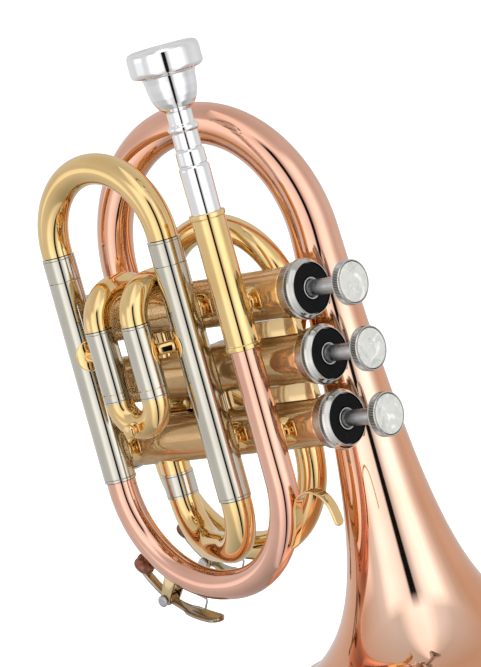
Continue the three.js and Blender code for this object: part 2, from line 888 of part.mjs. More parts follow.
function makeFirstTubes(name, z, tuningZ) {
  piece(`first_slide_bow_${name}`, firstBow(z), yellowBrass);
  piece(`first_slide_sleeve_${name}`, firstSleeve(z, tuningZ), nickelSilver);
}

function makeFirstSlide() {
  makeFirstTubes("high", first.highZ, tuning.highZ);
  makeFirstTubes("low", first.lowZ, tuning.lowZ);
  const legX = firstFerruleX - first.legLength;
  const sizes = {
    leg: first.legLength,
    ferrule: first.ferrule,
    straight: gap,
    legRadius: firstLegRadius,
    ferruleRadius: first.radius,
    tubeRadius: first.tubeRadius,
    bore: firstLegRadius - first.legWall,
  };
  const high = point(legX, first.side, first.highZ);
  const low = point(legX, first.side, first.lowZ);
  const crook = slideCrook(high, low, forward, sizes);
  const front = firstFerruleX + first.ferrule + gap + (first.highZ - first.lowZ) / 2;
  const knobY = first.side - (first.tubeRadius + sizes.bore) / 2;
  const knobBase = point(front, knobY, (first.highZ + first.lowZ) / 2);
  const knob = slideKnob(knobBase, right, first.knobRadius, first.knobHeight);
  piece("first_slide_crook", joined(crook, knob), yellowBrass);
}
makeFirstSlide();

// Second slide: two sleeves straight out of the middle casing, and a short crook with a knob
const secondLegRadius = second.radius - second.sleeveWall - gap;

function secondSleeve(z) {
  const ends = [point(0, 0, z), point(0, second.sleeveEnd, z)];
  return cut(pipe(ends, [], second.radius, second.sleeveWall, up), casingSpace(0));
}

function makeSecondSlide() {
  piece("second_slide_sleeve_high", secondSleeve(second.highZ), nickelSilver);
  piece("second_slide_sleeve_low", secondSleeve(second.lowZ), nickelSilver);
  const start = second.sleeveEnd + gap;
  const sizes = {
    leg: second.legLength,
    ferrule: second.ferrule,
    straight: gap,
    legRadius: secondLegRadius,
    ferruleRadius: second.radius,
    tubeRadius: second.tubeRadius,
    bore: secondLegRadius - second.legWall,
  };
  const high = point(0, start - second.legLength, second.highZ);
  const low = point(0, start - second.legLength, second.lowZ);
  const crook = slideCrook(high, low, left, sizes);
  const end = start + second.ferrule + gap + (second.highZ - second.lowZ) / 2;
  const knobY = end + (second.tubeRadius + sizes.bore) / 2;
  const knobBase = point(0, knobY, (second.highZ + second.lowZ) / 2);
  const knob = slideKnob(knobBase, left, second.knobRadius, second.knobHeight);
  piece("second_slide_crook", joined(crook, knob), yellowBrass);
}
makeSecondSlide();

// Third loop: coil from the high port round the rear arc into the high sleeve, riser into the low sleeve
const thirdBore = third.sleeveRadius - third.sleeveWall;
const thirdLegRadius = thirdBore - gap;
const thirdBend = (third.sleeveHighZ - third.sleeveLowZ) / 2;
const thirdCentre = point(third.crookX, third.sleeveSide, (third.sleeveHighZ + third.sleeveLowZ) / 2);

function intoSleeve(corners, bends, radius, sleeveZ) {
  const stations = bentRoute(corners, bends);
  stations.forEach((station) => Object.assign(station, { outer: radius, bore: radius - third.wall }));
  const sleeveRear = corners[corners.length - 1];
  const end = point(third.sleeveFront, third.sleeveSide, sleeveZ);
  const ring = (at, bore) => ({ at, along: forward, outer: third.sleeveRadius, bore });
  const shoulder = sleeveRear.clone().addScaledVector(forward, third.wall);
  stations.push(ring(sleeveRear, radius - third.wall), ring(shoulder, thirdBore), ring(end, thirdBore));
  return cut(sweptTube(stations, tubeSides, up), casingSpace(valveX[2]));
}

function makeThirdCoil() {
  const x = valveX[2];
  const y = third.side;
  const rearBend = (third.arcHighZ - third.arcLowZ) / 2;
  const corners = [
    point(x, 0, third.portHighZ),
    point(x, third.outSide, third.portHighZ),
    point(third.leanX, third.outSide, third.arcLowZ),
    point(third.backX, y, third.arcLowZ),
    point(third.arcRear, y, third.arcLowZ),
    point(third.arcRear, y, third.arcHighZ),
    point(third.bendX, y, third.arcHighZ),
    point(third.sleeveHighRear - overrun, third.sleeveSide, third.sleeveHighZ),
    point(third.sleeveHighRear, third.sleeveSide, third.sleeveHighZ),
  ];
  const { smallBend, easyBend, tubeRadius } = third;
  const bends = [smallBend, smallBend, easyBend, rearBend, rearBend, easyBend, easyBend];
  piece("third_slide_coil", intoSleeve(corners, bends, tubeRadius, third.sleeveHighZ), yellowBrass);
}
makeThirdCoil();

function makeThirdRiser() {
  const corners = [
    point(valveX[2], 0, third.portLowZ),
    point(third.riserX, third.riserSide, third.portLowZ),
    point(third.riserX, third.riserSide, third.riserTurnZ),
    point(third.riserTurnX, third.sleeveSide, third.sleeveLowZ),
    point(third.sleeveLowRear, third.sleeveSide, third.sleeveLowZ),
  ];
  const bends = [third.tightBend, third.smallBend, third.smallBend];
  piece("third_slide_riser", intoSleeve(corners, bends, third.riserRadius, third.sleeveLowZ), yellowBrass);
}
makeThirdRiser();

function makeThirdSlide() {
  const legX = third.sleeveFront + gap - third.legLength;
  const sizes = {
    leg: third.legLength,
    ferrule: third.ferrule,
    straight: third.crookX - third.sleeveFront - gap - third.ferrule,
    legRadius: thirdLegRadius,
    ferruleRadius: third.sleeveRadius,
    tubeRadius: third.crookRadius,
    bore: thirdLegRadius - third.legWall,
  };
  const high = point(legX, third.sleeveSide, third.sleeveHighZ);
  const low = point(legX, third.sleeveSide, third.sleeveLowZ);
  const crook = slideCrook(high, low, forward, sizes);
  const wall = third.crookRadius - sizes.bore;
  const seats = keySeats(thirdCentre, thirdBend, third.crookRadius, wall);
  piece("third_slide_crook", joined(crook, ...seats), yellowBrass);
}

// Brace from the middle casing to the bell
function makeBellBrace() {
  const onBell = {
    at: point(braceX.bell, bell.axisY, bellBraceZ),
    radius: flareRadius(braceX.bell + brace.flangeRadius),
    axis: forward,
    sink: -gap,
  };
  const onCasing = { at: point(braceX.bell, 0, bellBraceZ), radius: valve.radius, axis: up, sink: -gap };
  piece("bell_brace", bracePost([onBell, onCasing], brace.flangeRadius), yellowBrass);
}
makeBellBrace();

// Finger hook
function overBend(x) {
  const reach = highBend + leadpipe.bendRadius + gap + hook.thickness / 2;
  return highCentre.z + Math.sqrt(reach ** 2 - x ** 2);
}

function makeHook() {
  const foot = (x) => point(highCentre.x + x, 0, overBend(x));
  const middle = (hook.footFront + hook.footRear) / 2;
  const curve = new THREE.CatmullRomCurve3([
    foot(hook.footFront),
    foot(middle),
    foot(hook.footRear),
    point(hookTop.neckX, 0, hookTop.neckZ),
    point(hookTop.crownX, 0, hookTop.crownZ),
    point(hookTop.shoulderX, 0, hookTop.shoulderZ),
    point(hookTop.archX, 0, hookTop.archZ),
    point(hookTop.tipX, 0, hookTop.tipZ),
  ]);
  const places = curve.getSpacedPoints(hookPoints);
  const edge = (sign) =>
    places.map((place, i) => {
      const along = curve.getTangentAt(i / hookPoints);
      const reach = (sign * hook.thickness) / 2;
      return new THREE.Vector2(place.x - along.z * reach, place.z + along.x * reach);
    });
  const shape = new THREE.Shape([...edge(-1), ...edge(1).reverse()]);
  const strip = new THREE.ExtrudeGeometry(shape, { depth: hook.width, bevelEnabled: false });
  strip.rotateX(Math.PI / 2);
  strip.translate(0, tuning.side + hook.width / 2, 0);
  piece("finger_hook", strip, yellowBrass);
}
makeHook();

// Water keys, each on the outside of a front bend
function radialWay(degrees) {
  const angle = THREE.MathUtils.degToRad(degrees);
  return point(Math.cos(angle), 0, Math.sin(angle));
}

function keyPlate(centre, corners, width) {
  const outline = corners.map(([degrees, reach]) => {
    const way = radialWay(degrees);
    return new THREE.Vector2(way.x * reach, way.z * reach);
  });
  const settings = { depth: width, bevelEnabled: false };
  const plate = new THREE.ExtrudeGeometry(new THREE.Shape(outline), settings);
  plate.rotateX(Math.PI / 2);
  plate.translate(centre.x, centre.y + width / 2, centre.z);
  return plate;
}

// Where a key's parts lie on a bend
function keyPlaces(centre, bend, tubeRadius) {
  const surface = bend + tubeRadius + gap;
  const out = (degrees, reach) => centre.clone().addScaledVector(radialWay(degrees), reach);
  const pivotReach = surface + key.pivotRise;
  return { surface, out, pivotReach, centre, pivot: out(key.pivotAngle, pivotReach) };
}

function keyPin(pivot, radius, width) {
  const start = pivot.clone().addScaledVector(left, width / 2);
  return rod(radius, width, tubeSides, start, right);
}

// The nipple and the saddle that are soldered on the bend
function keySeats(centre, bend, tubeRadius, wall) {
  const { surface, out, pivotReach, pivot } = keyPlaces(centre, bend, tubeRadius);
  const foot = bend + tubeRadius - wall / 2;
  const nippleTop = surface + key.nippleHeight - foot;
  const corkWay = radialWay(key.corkAngle);
  const nipple = rod(key.nippleRadius, nippleTop, tubeSides, out(key.corkAngle, foot), corkWay);
  const ring = new THREE.TorusGeometry(bend, tubeRadius - wall / 2, tubeSides, ringSegments);
  ring.rotateX(Math.PI / 2);
  ring.translate(centre.x, centre.y, centre.z);
  const halfEar = THREE.MathUtils.radToDeg(key.earWidth / 2 / pivotReach);
  const block = (spread, low, top, width) => {
    const lowAngle = key.pivotAngle - spread * halfEar;
    const highAngle = key.pivotAngle + spread * halfEar;
    const corners = [[lowAngle, low], [highAngle, low], [highAngle, top], [lowAngle, top]];
    return keyPlate(centre, corners, width);
  };
  const between = key.barrelWidth + 2 * gap;
  const width = between + 2 * key.earThickness;
  const ears = block(1, surface - overrun, pivotReach + key.earTop, width);
  const slot = block(2, surface + key.saddleHeight, pivotReach + key.earTop + overrun, between);
  const bore = keyPin(pivot, key.screwRadius + gap, width + 2 * overrun);
  return [nipple, cut(ears, slot, bore, ring)];
}

function makeKeyLever(label, places) {
  const { surface, out, pivotReach, centre, pivot } = places;
  const paddleFoot = surface + key.paddleRise;
  const paddleTop = paddleFoot + key.paddleThickness;
  const cupFoot = surface + key.nippleHeight + key.corkHeight + 2 * gap;
  const cupMiddle = cupFoot + key.cupWall / 2;
  const halfArm = key.armThickness / 2;
  const paddleCorners = [
    [key.paddleFromAngle, paddleFoot],
    [key.paddleAngle, paddleFoot],
    [key.paddleAngle, paddleTop],
    [key.paddleFromAngle, paddleTop],
  ];
  const armCorners = [
    [key.corkAngle, cupMiddle],
    [key.pivotAngle, pivotReach - halfArm],
    ...paddleCorners,
    [key.pivotAngle, pivotReach + halfArm],
    [key.corkAngle, cupMiddle + key.armThickness],
  ];
  const arm = keyPlate(centre, armCorners, key.armWidth);
  const paddle = keyPlate(centre, paddleCorners, key.paddleWidth);
  const barrel = keyPin(pivot, key.barrelRadius, key.barrelWidth);
  const corkWay = radialWay(key.corkAngle);
  const cup = rod(key.cupRadius, key.cupWall, tubeSides, out(key.corkAngle, cupFoot), corkWay);
  const bore = keyPin(pivot, key.screwRadius + gap, key.barrelWidth + 2 * overrun);
  piece(`water_key_lever_${label}`, cut(joined(arm, paddle, barrel, cup), bore), nickelSilver);
}

function makeKeyScrew(label, { pivot }) {
  const width = key.barrelWidth + 2 * gap + 2 * key.earThickness;
  const headFoot = pivot.clone().addScaledVector(right, width / 2 + gap);
  const head = rod(key.screwHeadRadius, key.screwHeadHeight, tubeSides, headFoot, right);
  const shankStart = pivot.clone().addScaledVector(left, width / 2);
  const shank = rod(key.screwRadius, width + gap + key.screwHeadHeight / 2, tubeSides, shankStart, right);
  piece(`water_key_screw_${label}`, joined(head, shank), steel);
}

function makeKeySpring(label, { surface, out }) {
  const corners = [
    out(key.wireFootAngle, surface + key.wireRadius),
    out(key.wireKinkAngle, surface + key.wireKinkRise),
    out(key.wireFoldAngle, surface + key.wireFoldRise),
    out(key.wireTipAngle, surface + key.wireTipRise),
  ];
  const stations = bentRoute(corners, [key.wireBend, key.wireBend]);
  stations.forEach((station) => Object.assign(station, { outer: key.wireRadius, bore: 0 }));
  piece(`water_key_spring_${label}`, sweptTube(stations, wireSides, left), steel);
}

function makeWaterKey(label, centre, bend, tubeRadius) {
  const places = keyPlaces(centre, bend, tubeRadius);
  const corkWay = radialWay(key.corkAngle);
  const corkFoot = places.out(key.corkAngle, places.surface + key.nippleHeight + gap);
  piece(`water_key_cork_${label}`, rod(key.corkRadius, key.corkHeight, tubeSides, corkFoot, corkWay), cork);
  makeKeyLever(label, places);
  makeKeyScrew(label, places);
  makeKeySpring(label, places);
}

makeLeadpipe();
makeThirdSlide();
makeWaterKey("front", lowCentre, lowBend, leadpipe.bendRadius);
makeWaterKey("third", thirdCentre, thirdBend, third.crookRadius);

// Standing on its bell, with the origin under the middle of the whole
trumpet.rotation.y = Math.PI / 2;
const standing = new THREE.Group();
standing.add(trumpet);
const box = new THREE.Box3().setFromObject(standing);
const middle = box.getCenter(new THREE.Vector3());
trumpet.position.set(-middle.x, -middle.y, -box.min.z);

export default standing;
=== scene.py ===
import math

import bmesh
import bpy
import numpy as np
from mathutils import Matrix


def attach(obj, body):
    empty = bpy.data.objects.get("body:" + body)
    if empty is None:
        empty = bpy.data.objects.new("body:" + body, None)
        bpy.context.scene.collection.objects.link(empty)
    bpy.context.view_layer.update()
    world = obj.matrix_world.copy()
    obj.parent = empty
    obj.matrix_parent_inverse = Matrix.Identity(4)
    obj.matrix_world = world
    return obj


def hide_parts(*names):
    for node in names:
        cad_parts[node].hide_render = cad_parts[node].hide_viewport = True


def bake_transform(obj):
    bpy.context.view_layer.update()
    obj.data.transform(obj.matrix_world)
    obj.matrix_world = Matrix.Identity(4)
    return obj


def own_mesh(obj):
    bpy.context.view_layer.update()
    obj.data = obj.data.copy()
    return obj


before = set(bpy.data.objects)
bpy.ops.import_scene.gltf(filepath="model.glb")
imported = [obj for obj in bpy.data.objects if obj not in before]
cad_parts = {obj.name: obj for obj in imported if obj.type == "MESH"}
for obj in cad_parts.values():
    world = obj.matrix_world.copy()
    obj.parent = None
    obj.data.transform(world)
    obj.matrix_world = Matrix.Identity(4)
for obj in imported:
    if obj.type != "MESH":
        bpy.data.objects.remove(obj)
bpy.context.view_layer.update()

# ---- The photographer's table ----
# The trumpet is seen from its right and a little above, tilted in the picture. A white table and wall lie round it,
# wide soft lamps stand on both sides of the camera, and the dark slot between them draws the thin black lines.
camera_right = (0.7048, 0.6586, -0.2636)
camera_up = (0.0984, 0.2773, 0.9557)
camera_back = (0.7026, -0.6995, 0.1307)
camera_place = (1.00957, -1.02225, 0.33346)

lens = bpy.data.cameras.new("photo_camera")
lens.sensor_width = 36.0
lens.lens = 195.66
lens.clip_end = 20.0
camera = bpy.data.objects.new("photo_camera", lens)
camera.matrix_world = Matrix([*zip(camera_right, camera_up, camera_back, camera_place), (0, 0, 0, 1)])
bpy.context.collection.objects.link(camera)
scene = bpy.context.scene
scene.camera = camera
scene.view_settings.view_transform = "Standard"


def fed(node, sources):
    """Each named input of the node is linked from its output socket, or set to its value."""
    for socket, source in dict(sources).items():
        if hasattr(source, "is_output"):
            node.id_data.links.new(source, node.inputs[socket])
        else:
            node.inputs[socket].default_value = source
    return node


def wire(tree, kind, sources=(), **values):
    """Adds a node, sets its attributes and feeds its inputs."""
    node = tree.nodes.new(kind)
    for key, value in values.items():
        setattr(node, key, value)
    return fed(node, sources)


def calculated(tree, operation, *sources):
    """One step of arithmetic."""
    return wire(tree, "ShaderNodeMath", enumerate(sources), operation=operation).outputs[0]


def remapped(tree, value, low, high, to_low=0.0, to_high=1.0):
    """to_low + (to_high - to_low) (value - low) / (high - low), held between the two."""
    return wire(tree, "ShaderNodeMapRange", {"Value": value, "From Min": low, "From Max": high, "To Min": to_low,
                                             "To Max": to_high}).outputs[0]


def mixed(tree, first, second, share=1.0, blend="MULTIPLY"):
    """The second colour laid over the first."""
    return wire(tree, "ShaderNodeMixRGB", {"Fac": share, "Color1": first, "Color2": second},
                blend_type=blend).outputs[0]


def ramp(tree, source, stops, ease="LINEAR"):
    """A scale of greys or colours, read at source, through stops of place and value."""
    node = wire(tree, "ShaderNodeValToRGB", {"Fac": source})
    node.color_ramp.interpolation = ease
    while len(node.color_ramp.elements) < len(stops):
        node.color_ramp.elements.new(0.5)
    for element, (place, value) in zip(node.color_ramp.elements, stops):
        element.position = place
        element.color = (value, value, value, 1) if isinstance(value, float) else (*value, 1)
    return node.outputs["Color"]


def studio_world():
    """Light by direction: the angle round the table from the camera picks the lamp, wall or slot that is seen there;
    above the lamps only a paler stripe of the ceiling is left, a white board on the left lights the casings, and the
    table darkens the low directions. The camera itself sees plain white."""
    world = bpy.data.worlds.new("studio")
    world.use_nodes = True
    tree = world.node_tree
    tree.nodes.clear()
    way = wire(tree, "ShaderNodeTexCoord").outputs["Generated"]
    parts = wire(tree, "ShaderNodeSeparateXYZ", {"Vector": way}).outputs

    def part_of(a, b):
        return calculated(tree, "MULTIPLY_ADD", parts["Y"], b, calculated(tree, "MULTIPLY", parts["X"], a))

    towards, aside = part_of(0.7087, -0.7055), part_of(0.7055, 0.7087)
    turn = remapped(tree, calculated(tree, "ARCTAN2", aside, towards), -math.pi, math.pi)
    lamps = ramp(tree, turn, [
        (0.0, 0.42), (0.1, 0.50), (0.2, 0.46), (0.3, 0.47), (0.34, 0.52), (0.375, 0.90), (0.40, 0.92), (0.44, 0.80),
        (0.475, 0.66), (0.4835, 0.5), (0.4855, 0.004), (0.5155, 0.004), (0.518, 0.3), (0.535, 0.5), (0.56, 0.82),
        (0.60, 1.0), (0.64, 0.97), (0.68, 0.60), (0.72, 0.44), (0.80, 0.50), (0.9, 0.44), (1.0, 0.42),
    ])
    ceiling = ramp(tree, turn, [
        (0.0, 0.52), (0.25, 0.50), (0.40, 0.46), (0.46, 0.88), (0.53, 0.95), (0.59, 0.62), (0.66, 0.48), (1.0, 0.52),
    ])
    height = remapped(tree, parts["Z"], -1.0, 1.0)
    above = ramp(tree, height, [(0.75, 0.0), (0.82, 1.0)])
    facing = ramp(tree, turn, [(0.19, 0.0), (0.22, 1.0), (0.28, 1.0), (0.31, 0.0)])
    raised = ramp(tree, height, [(0.45, 0.0), (0.49, 1.0), (0.61, 1.0), (0.68, 0.0)])
    board, board_white = calculated(tree, "MULTIPLY", facing, raised), (0.74, 0.74, 0.74, 1)
    room = mixed(tree, mixed(tree, lamps, ceiling, above, "MIX"), board_white, board, "MIX")
    level = ramp(tree, height, [(0.0, 0.5), (0.3, 0.85), (0.43, 1.0), (0.62, 0.95), (0.8, 0.92), (1.0, 0.8)])
    mirrored, plain, shown_white = (
        wire(tree, "ShaderNodeBackground", {"Color": colour, "Strength": strength}).outputs[0]
        for colour, strength in ((mixed(tree, room, level), 1.6), ((1, 1, 1, 1), 0.9), ((1, 1, 1, 1), 1.0)))
    path = wire(tree, "ShaderNodeLightPath").outputs
    lit = wire(tree, "ShaderNodeMixShader", {0: path["Is Glossy Ray"], 1: plain, 2: mirrored}).outputs[0]
    shown = wire(tree, "ShaderNodeMixShader", {0: path["Is Camera Ray"], 1: lit, 2: shown_white}).outputs[0]
    wire(tree, "ShaderNodeOutputWorld", {"Surface": shown})
    return world


scene.world = studio_world()


def table_paper():
    """White paper that looks plain white to the camera except where the trumpet's shadow falls on it."""
    paper = bpy.data.materials.new("table_paper")
    paper.use_nodes = True
    tree = paper.node_tree
    tree.nodes.clear()
    grain = wire(tree, "ShaderNodeTexNoise", {"Scale": 30.0, "Detail": 3.0}).outputs["Fac"]
    tone = ramp(tree, grain, [(0.3, (0.90, 0.90, 0.90)), (0.7, (0.93, 0.93, 0.93))])
    matt = wire(tree, "ShaderNodeBsdfDiffuse", {"Color": tone}).outputs[0]
    glow = wire(tree, "ShaderNodeEmission", {"Color": (1, 1, 1, 1), "Strength": 0.42}).outputs[0]
    both = wire(tree, "ShaderNodeAddShader", {0: matt, 1: glow}).outputs[0]
    seen_by = wire(tree, "ShaderNodeLightPath").outputs
    shown = wire(tree, "ShaderNodeMixShader", {0: seen_by["Is Camera Ray"], 1: matt, 2: both}).outputs[0]
    wire(tree, "ShaderNodeOutputMaterial", {"Surface": shown})
    return paper


table_half = 6
table_mesh = bpy.data.meshes.new("table_top")
table_mesh.from_pydata([(x * table_half, y * table_half, 0) for x, y in ((-1, -1), (1, -1), (1, 1), (-1, 1))],
                       [], [(0, 1, 2, 3)])
table_mesh.materials.append(table_paper())
table = bpy.data.objects.new("table_top", table_mesh)
table.visible_glossy = False
bpy.context.collection.objects.link(table)

for lamp_name, lamp_place, lamp_turn, lamp_power, lamp_size in (
    ("left_lamp", (0.1, -1.9, 1.1), (60, 0, 3), 16.0, 1.2),
    ("top_lamp", (0.2, 0.1, 1.9), (5, 3, 0), 12.0, 1.4),
):
    lamp_data = bpy.data.lights.new(lamp_name, "AREA")
    lamp_data.energy = lamp_power
    lamp_data.size = lamp_size
    lamp = bpy.data.objects.new(lamp_name, lamp_data)
    lamp.location = lamp_place
    lamp.rotation_euler = [math.radians(angle) for angle in lamp_turn]
    lamp.visible_glossy = False
    bpy.context.collection.objects.link(lamp)

# ---- Leadpipe and front bend ----
# One long tube of rose brass, drawn thin, bent over the front in a wide half round and lacquered. It starts in the
# receiver and ends soldered into the lower sleeve of the tuning slide.
FORWARD, LEFT, UP = np.eye(3)
row_front, row_left, row_up = 134.0, 22.128, 21.441
gap, tube_wall = 0.3, 0.7


def stood(points):
    """Millimetres in playing position (forward, left, up) to metres standing on the bell: forward becomes down."""
    forward, left, up = np.moveaxis(np.asarray(points, float), -1, 0)
    return np.stack([up - row_up, left - row_left, row_front - forward], -1) * 0.001


def unit(vector):
    """The vector divided by its length."""
    vector = np.asarray(vector, float)
    return vector / np.linalg.norm(vector, axis=-1, keepdims=True)


def centre_line(corners, bends, step=4.0):
    """Straight runs joined by circles: a bend starts its radius times tan(half the turn) before its corner, and a
    place on it is centre - radius cos(t) inward + radius sin(t) along. Returns the places and the directions."""
    corners = np.asarray(corners, float)
    places, ways = [corners[:1]], [unit(corners[1:2] - corners[:1])]
    for before, corner, after, bend in zip(corners, corners[1:], corners[2:], bends):
        along, onward = unit(corner - before), unit(after - corner)
        turn = math.acos(np.clip(along @ onward, -1, 1))
        inward = unit(onward - along * (along @ onward))
        centre = corner - along * bend * math.tan(turn / 2) + inward * bend
        t = np.linspace(0, turn, max(5, round(math.degrees(turn) / step) + 1))[:, None]
        places.append(centre + bend * (np.sin(t) * along - np.cos(t) * inward))
        ways.append(np.cos(t) * along + np.sin(t) * inward)
    places.append(corners[-1:])
    ways.append(unit(corners[-1:] - corners[-2:-1]))
    return np.concatenate(places), np.concatenate(ways)


def rings(places, ways, radii, side, around=48):
    """A ring at each place: place + radius (cos(a) r + sin(a) w x r), r being side made square to the line w."""
    ways = np.broadcast_to(ways, places.shape)
    across = unit(side - (ways @ side)[:, None] * ways)
    over = np.cross(ways, across)
    angle = np.linspace(0, 2 * math.pi, around, endpoint=False)[:, None]
    circle = np.cos(angle) * across[:, None] + np.sin(angle) * over[:, None]
    radii = np.asarray(radii, float)
    radii = radii[:, None, None] if radii.ndim == 1 else radii[..., None]
    return places[:, None] + radii * circle


def surface(name, grid, finish, looped=False, crease=38):
    """A skin over a grid of places, four neighbours to a face, wrapped round each ring and, if looped, from the last
    ring to the first. It is turned over where the sum of its corner volumes is negative, so that it faces out."""
    rows, columns = grid.shape[:2]
    i = np.arange(rows if looped else rows - 1)[:, None]
    j = np.arange(columns)[None]
    after, beside = (i + 1) % rows, (j + 1) % columns
    faces = np.stack([i * columns + j, i * columns + beside, after * columns + beside, after * columns + j], -1)
    faces = faces.reshape(-1, 4)
    places = stood(grid.reshape(-1, 3))
    a, b, c, d = (places[faces[:, k]] - places.mean(0) for k in range(4))
    if (np.cross(a, b) * c + np.cross(a, c) * d).sum() < 0:
        faces = faces[:, ::-1]
    mesh = bpy.data.meshes.new(name)
    mesh.from_pydata(places.tolist(), [], faces.tolist())
    welded = bmesh.new()
    welded.from_mesh(mesh)
    bmesh.ops.remove_doubles(welded, verts=welded.verts, dist=2e-6)
    welded.to_mesh(mesh)
    welded.free()
    mesh.shade_smooth()
    mesh.set_sharp_from_angle(angle=math.radians(crease))
    mesh.materials.append(finish)
    made = bpy.data.objects.new(name, mesh)
    bpy.context.collection.objects.link(made)
    return made


def fitted(made, body, *nodes, slot=None):
    """The piece rides on its body and stands for its nodes, which it hides; the slot is not used."""
    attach(made, body)
    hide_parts(*nodes)


def walled(places, ways, outer, bore, side):
    """The outside from start to end and the bore back again, as one closed skin."""
    outside, inside = (rings(places, ways, np.broadcast_to(radius, len(places)), side) for radius in (outer, bore))
    return np.concatenate([outside, inside[::-1]])


def tubed(name, line, outer, bore, side, finish, body, *nodes):
    """A tube with its bore along a line, fitted to its body."""
    fitted(surface(name, walled(*line, outer, bore, side), finish, looped=True), body, *nodes)


def blank(name):
    """A new finish: its material, tree and shader, and the place that its textures read."""
    made = bpy.data.materials.new(name)
    made.use_nodes = True
    tree = made.node_tree
    return made, tree, tree.nodes["Principled BSDF"], wire(tree, "ShaderNodeTexCoord").outputs["Object"]


def noise(tree, place, scale, detail, **more):
    """How strong a noise of that scale is at the place."""
    return wire(tree, "ShaderNodeTexNoise", {"Vector": place, "Scale": scale, "Detail": detail, **more}).outputs["Fac"]


def lifted(tree, height, strength, distance, **more):
    """The normal of a surface lifted by a height, up to a distance in metres."""
    return wire(tree, "ShaderNodeBump", {"Height": height, "Strength": strength, "Distance": distance,
                                         **more}).outputs[0]


def metal(name, tint, deep, rough, lacquer, draw=0.0):
    """Polished metal: slow clouds mix its tint with a deeper one, fine specks spread its roughness, and two noises,
    one wide and one fine, lift it a few hundredths of a millimetre as buffing by hand leaves it."""
    made, tree, shader, place = blank(name)
    stretched = wire(tree, "ShaderNodeMapping", {"Vector": place, "Scale": (1.0, 1.0, 1.0 - draw)}).outputs[0]
    specks = noise(tree, stretched, 900.0, 4.0)
    wave = lifted(tree, noise(tree, place, 75.0, 2.0), 0.15, 0.0001)
    fed(shader, {
        "Base Color": ramp(tree, noise(tree, place, 38.0, 3.0, Roughness=0.55), [(0.36, tint), (0.72, deep)], "EASE"),
        "Roughness": remapped(tree, specks, 0.3, 0.7, rough * 0.7, rough * 1.4),
        "Normal": lifted(tree, specks, 0.05, 0.00002, Normal=wave),
        "Metallic": 1.0, "Coat Weight": lacquer, "Coat Roughness": 0.04,
    })
    return made


rose_brass = metal("rose_brass", (0.87, 0.50, 0.38), (0.82, 0.45, 0.33), 0.045, 0.5)
yellow_brass = metal("yellow_brass", (0.87, 0.62, 0.29), (0.82, 0.55, 0.23), 0.045, 0.4)
nickel_silver = metal("nickel_silver", (0.63, 0.60, 0.52), (0.58, 0.55, 0.47), 0.07, 0.1, draw=0.97)

lead_side, lead_height = -19.5, 45.9
low_sleeve_height, low_sleeve_front = -42.5, 36.7
front_reach, high_bend, low_bend = 84.0, 41.5, 44.2
bend_radius, lead_radius = 6.05, 5.8
lead_line = centre_line(
    [(-22, lead_side, lead_height), (front_reach, lead_side, lead_height),
     (front_reach, lead_side, low_sleeve_height), (low_sleeve_front + gap, lead_side, low_sleeve_height)],
    [high_bend, low_bend], step=2.5)
lead_outer = np.full(len(lead_line[0]), bend_radius)
lead_outer[0] = lead_radius
tubed("leadpipe_tube", lead_line, lead_outer, lead_outer - tube_wall, LEFT, rose_brass, "horn", "leadpipe")

# ---- Mouthpiece ----
# Turned from one bar of brass and silver plated: a round rim, a cup, a bead below it, then a stepped shank that
# tapers into the receiver. Its bore narrows to the throat and opens again.
silver_plate = metal("silver_plate", (0.93, 0.93, 0.94), (0.88, 0.88, 0.90), 0.05, 0.0)


def eased(profile, reach=0.35, steps=4):
    """A profile with its corners rounded: each corner is left reach early, or half way along a short side, and a
    parabola (1-t)^2 a + 2t(1-t) corner + t^2 b joins the two sides."""
    profile = np.asarray(profile, float)
    t = np.linspace(0, 1, steps)[:, None]
    out = [profile[:1]]
    for before, corner, after in zip(profile, profile[1:], profile[2:]):
        back, on = np.linalg.norm(before - corner), np.linalg.norm(after - corner)
        a = corner + (before - corner) * min(reach, back / 2.01) / back
        b = corner + (after - corner) * min(reach, on / 2.01) / on
        out.append((1 - t) ** 2 * a + 2 * t * (1 - t) * corner + t ** 2 * b)
    out.append(profile[-1:])
    return np.concatenate(out)


def held(profile, near=0.15):
    """Adds a point near each end of a profile's long sides, so that a straight side keeps straight reflections."""
    profile = np.asarray(profile, float)
    out = [profile[:1]]
    for a, b in zip(profile, profile[1:]):
        length = np.linalg.norm(b - a)
        if length > 4 * near:
            out.append(np.stack([a + (b - a) * near / length, b - (b - a) * near / length]))
        out.append(b[None])
    return np.concatenate(out)


def turned(profile, origin, way, around=72):
    """A profile of radius and height turned round an axis through origin: origin + height way + a ring."""
    profile = held(profile)
    way = np.asarray(way, float)
    side = UP if abs(way @ UP) < 0.9 else FORWARD
    return rings(np.asarray(origin, float) + profile[:, 1:] * way, way, profile[:, 0], side, around)


def lathed(name, profile, origin, way, finish, body, *nodes, around=72, crease=38):
    """A turned piece, fitted to its body."""
    fitted(surface(name, turned(profile, origin, way, around), finish, crease=crease), body, *nodes)


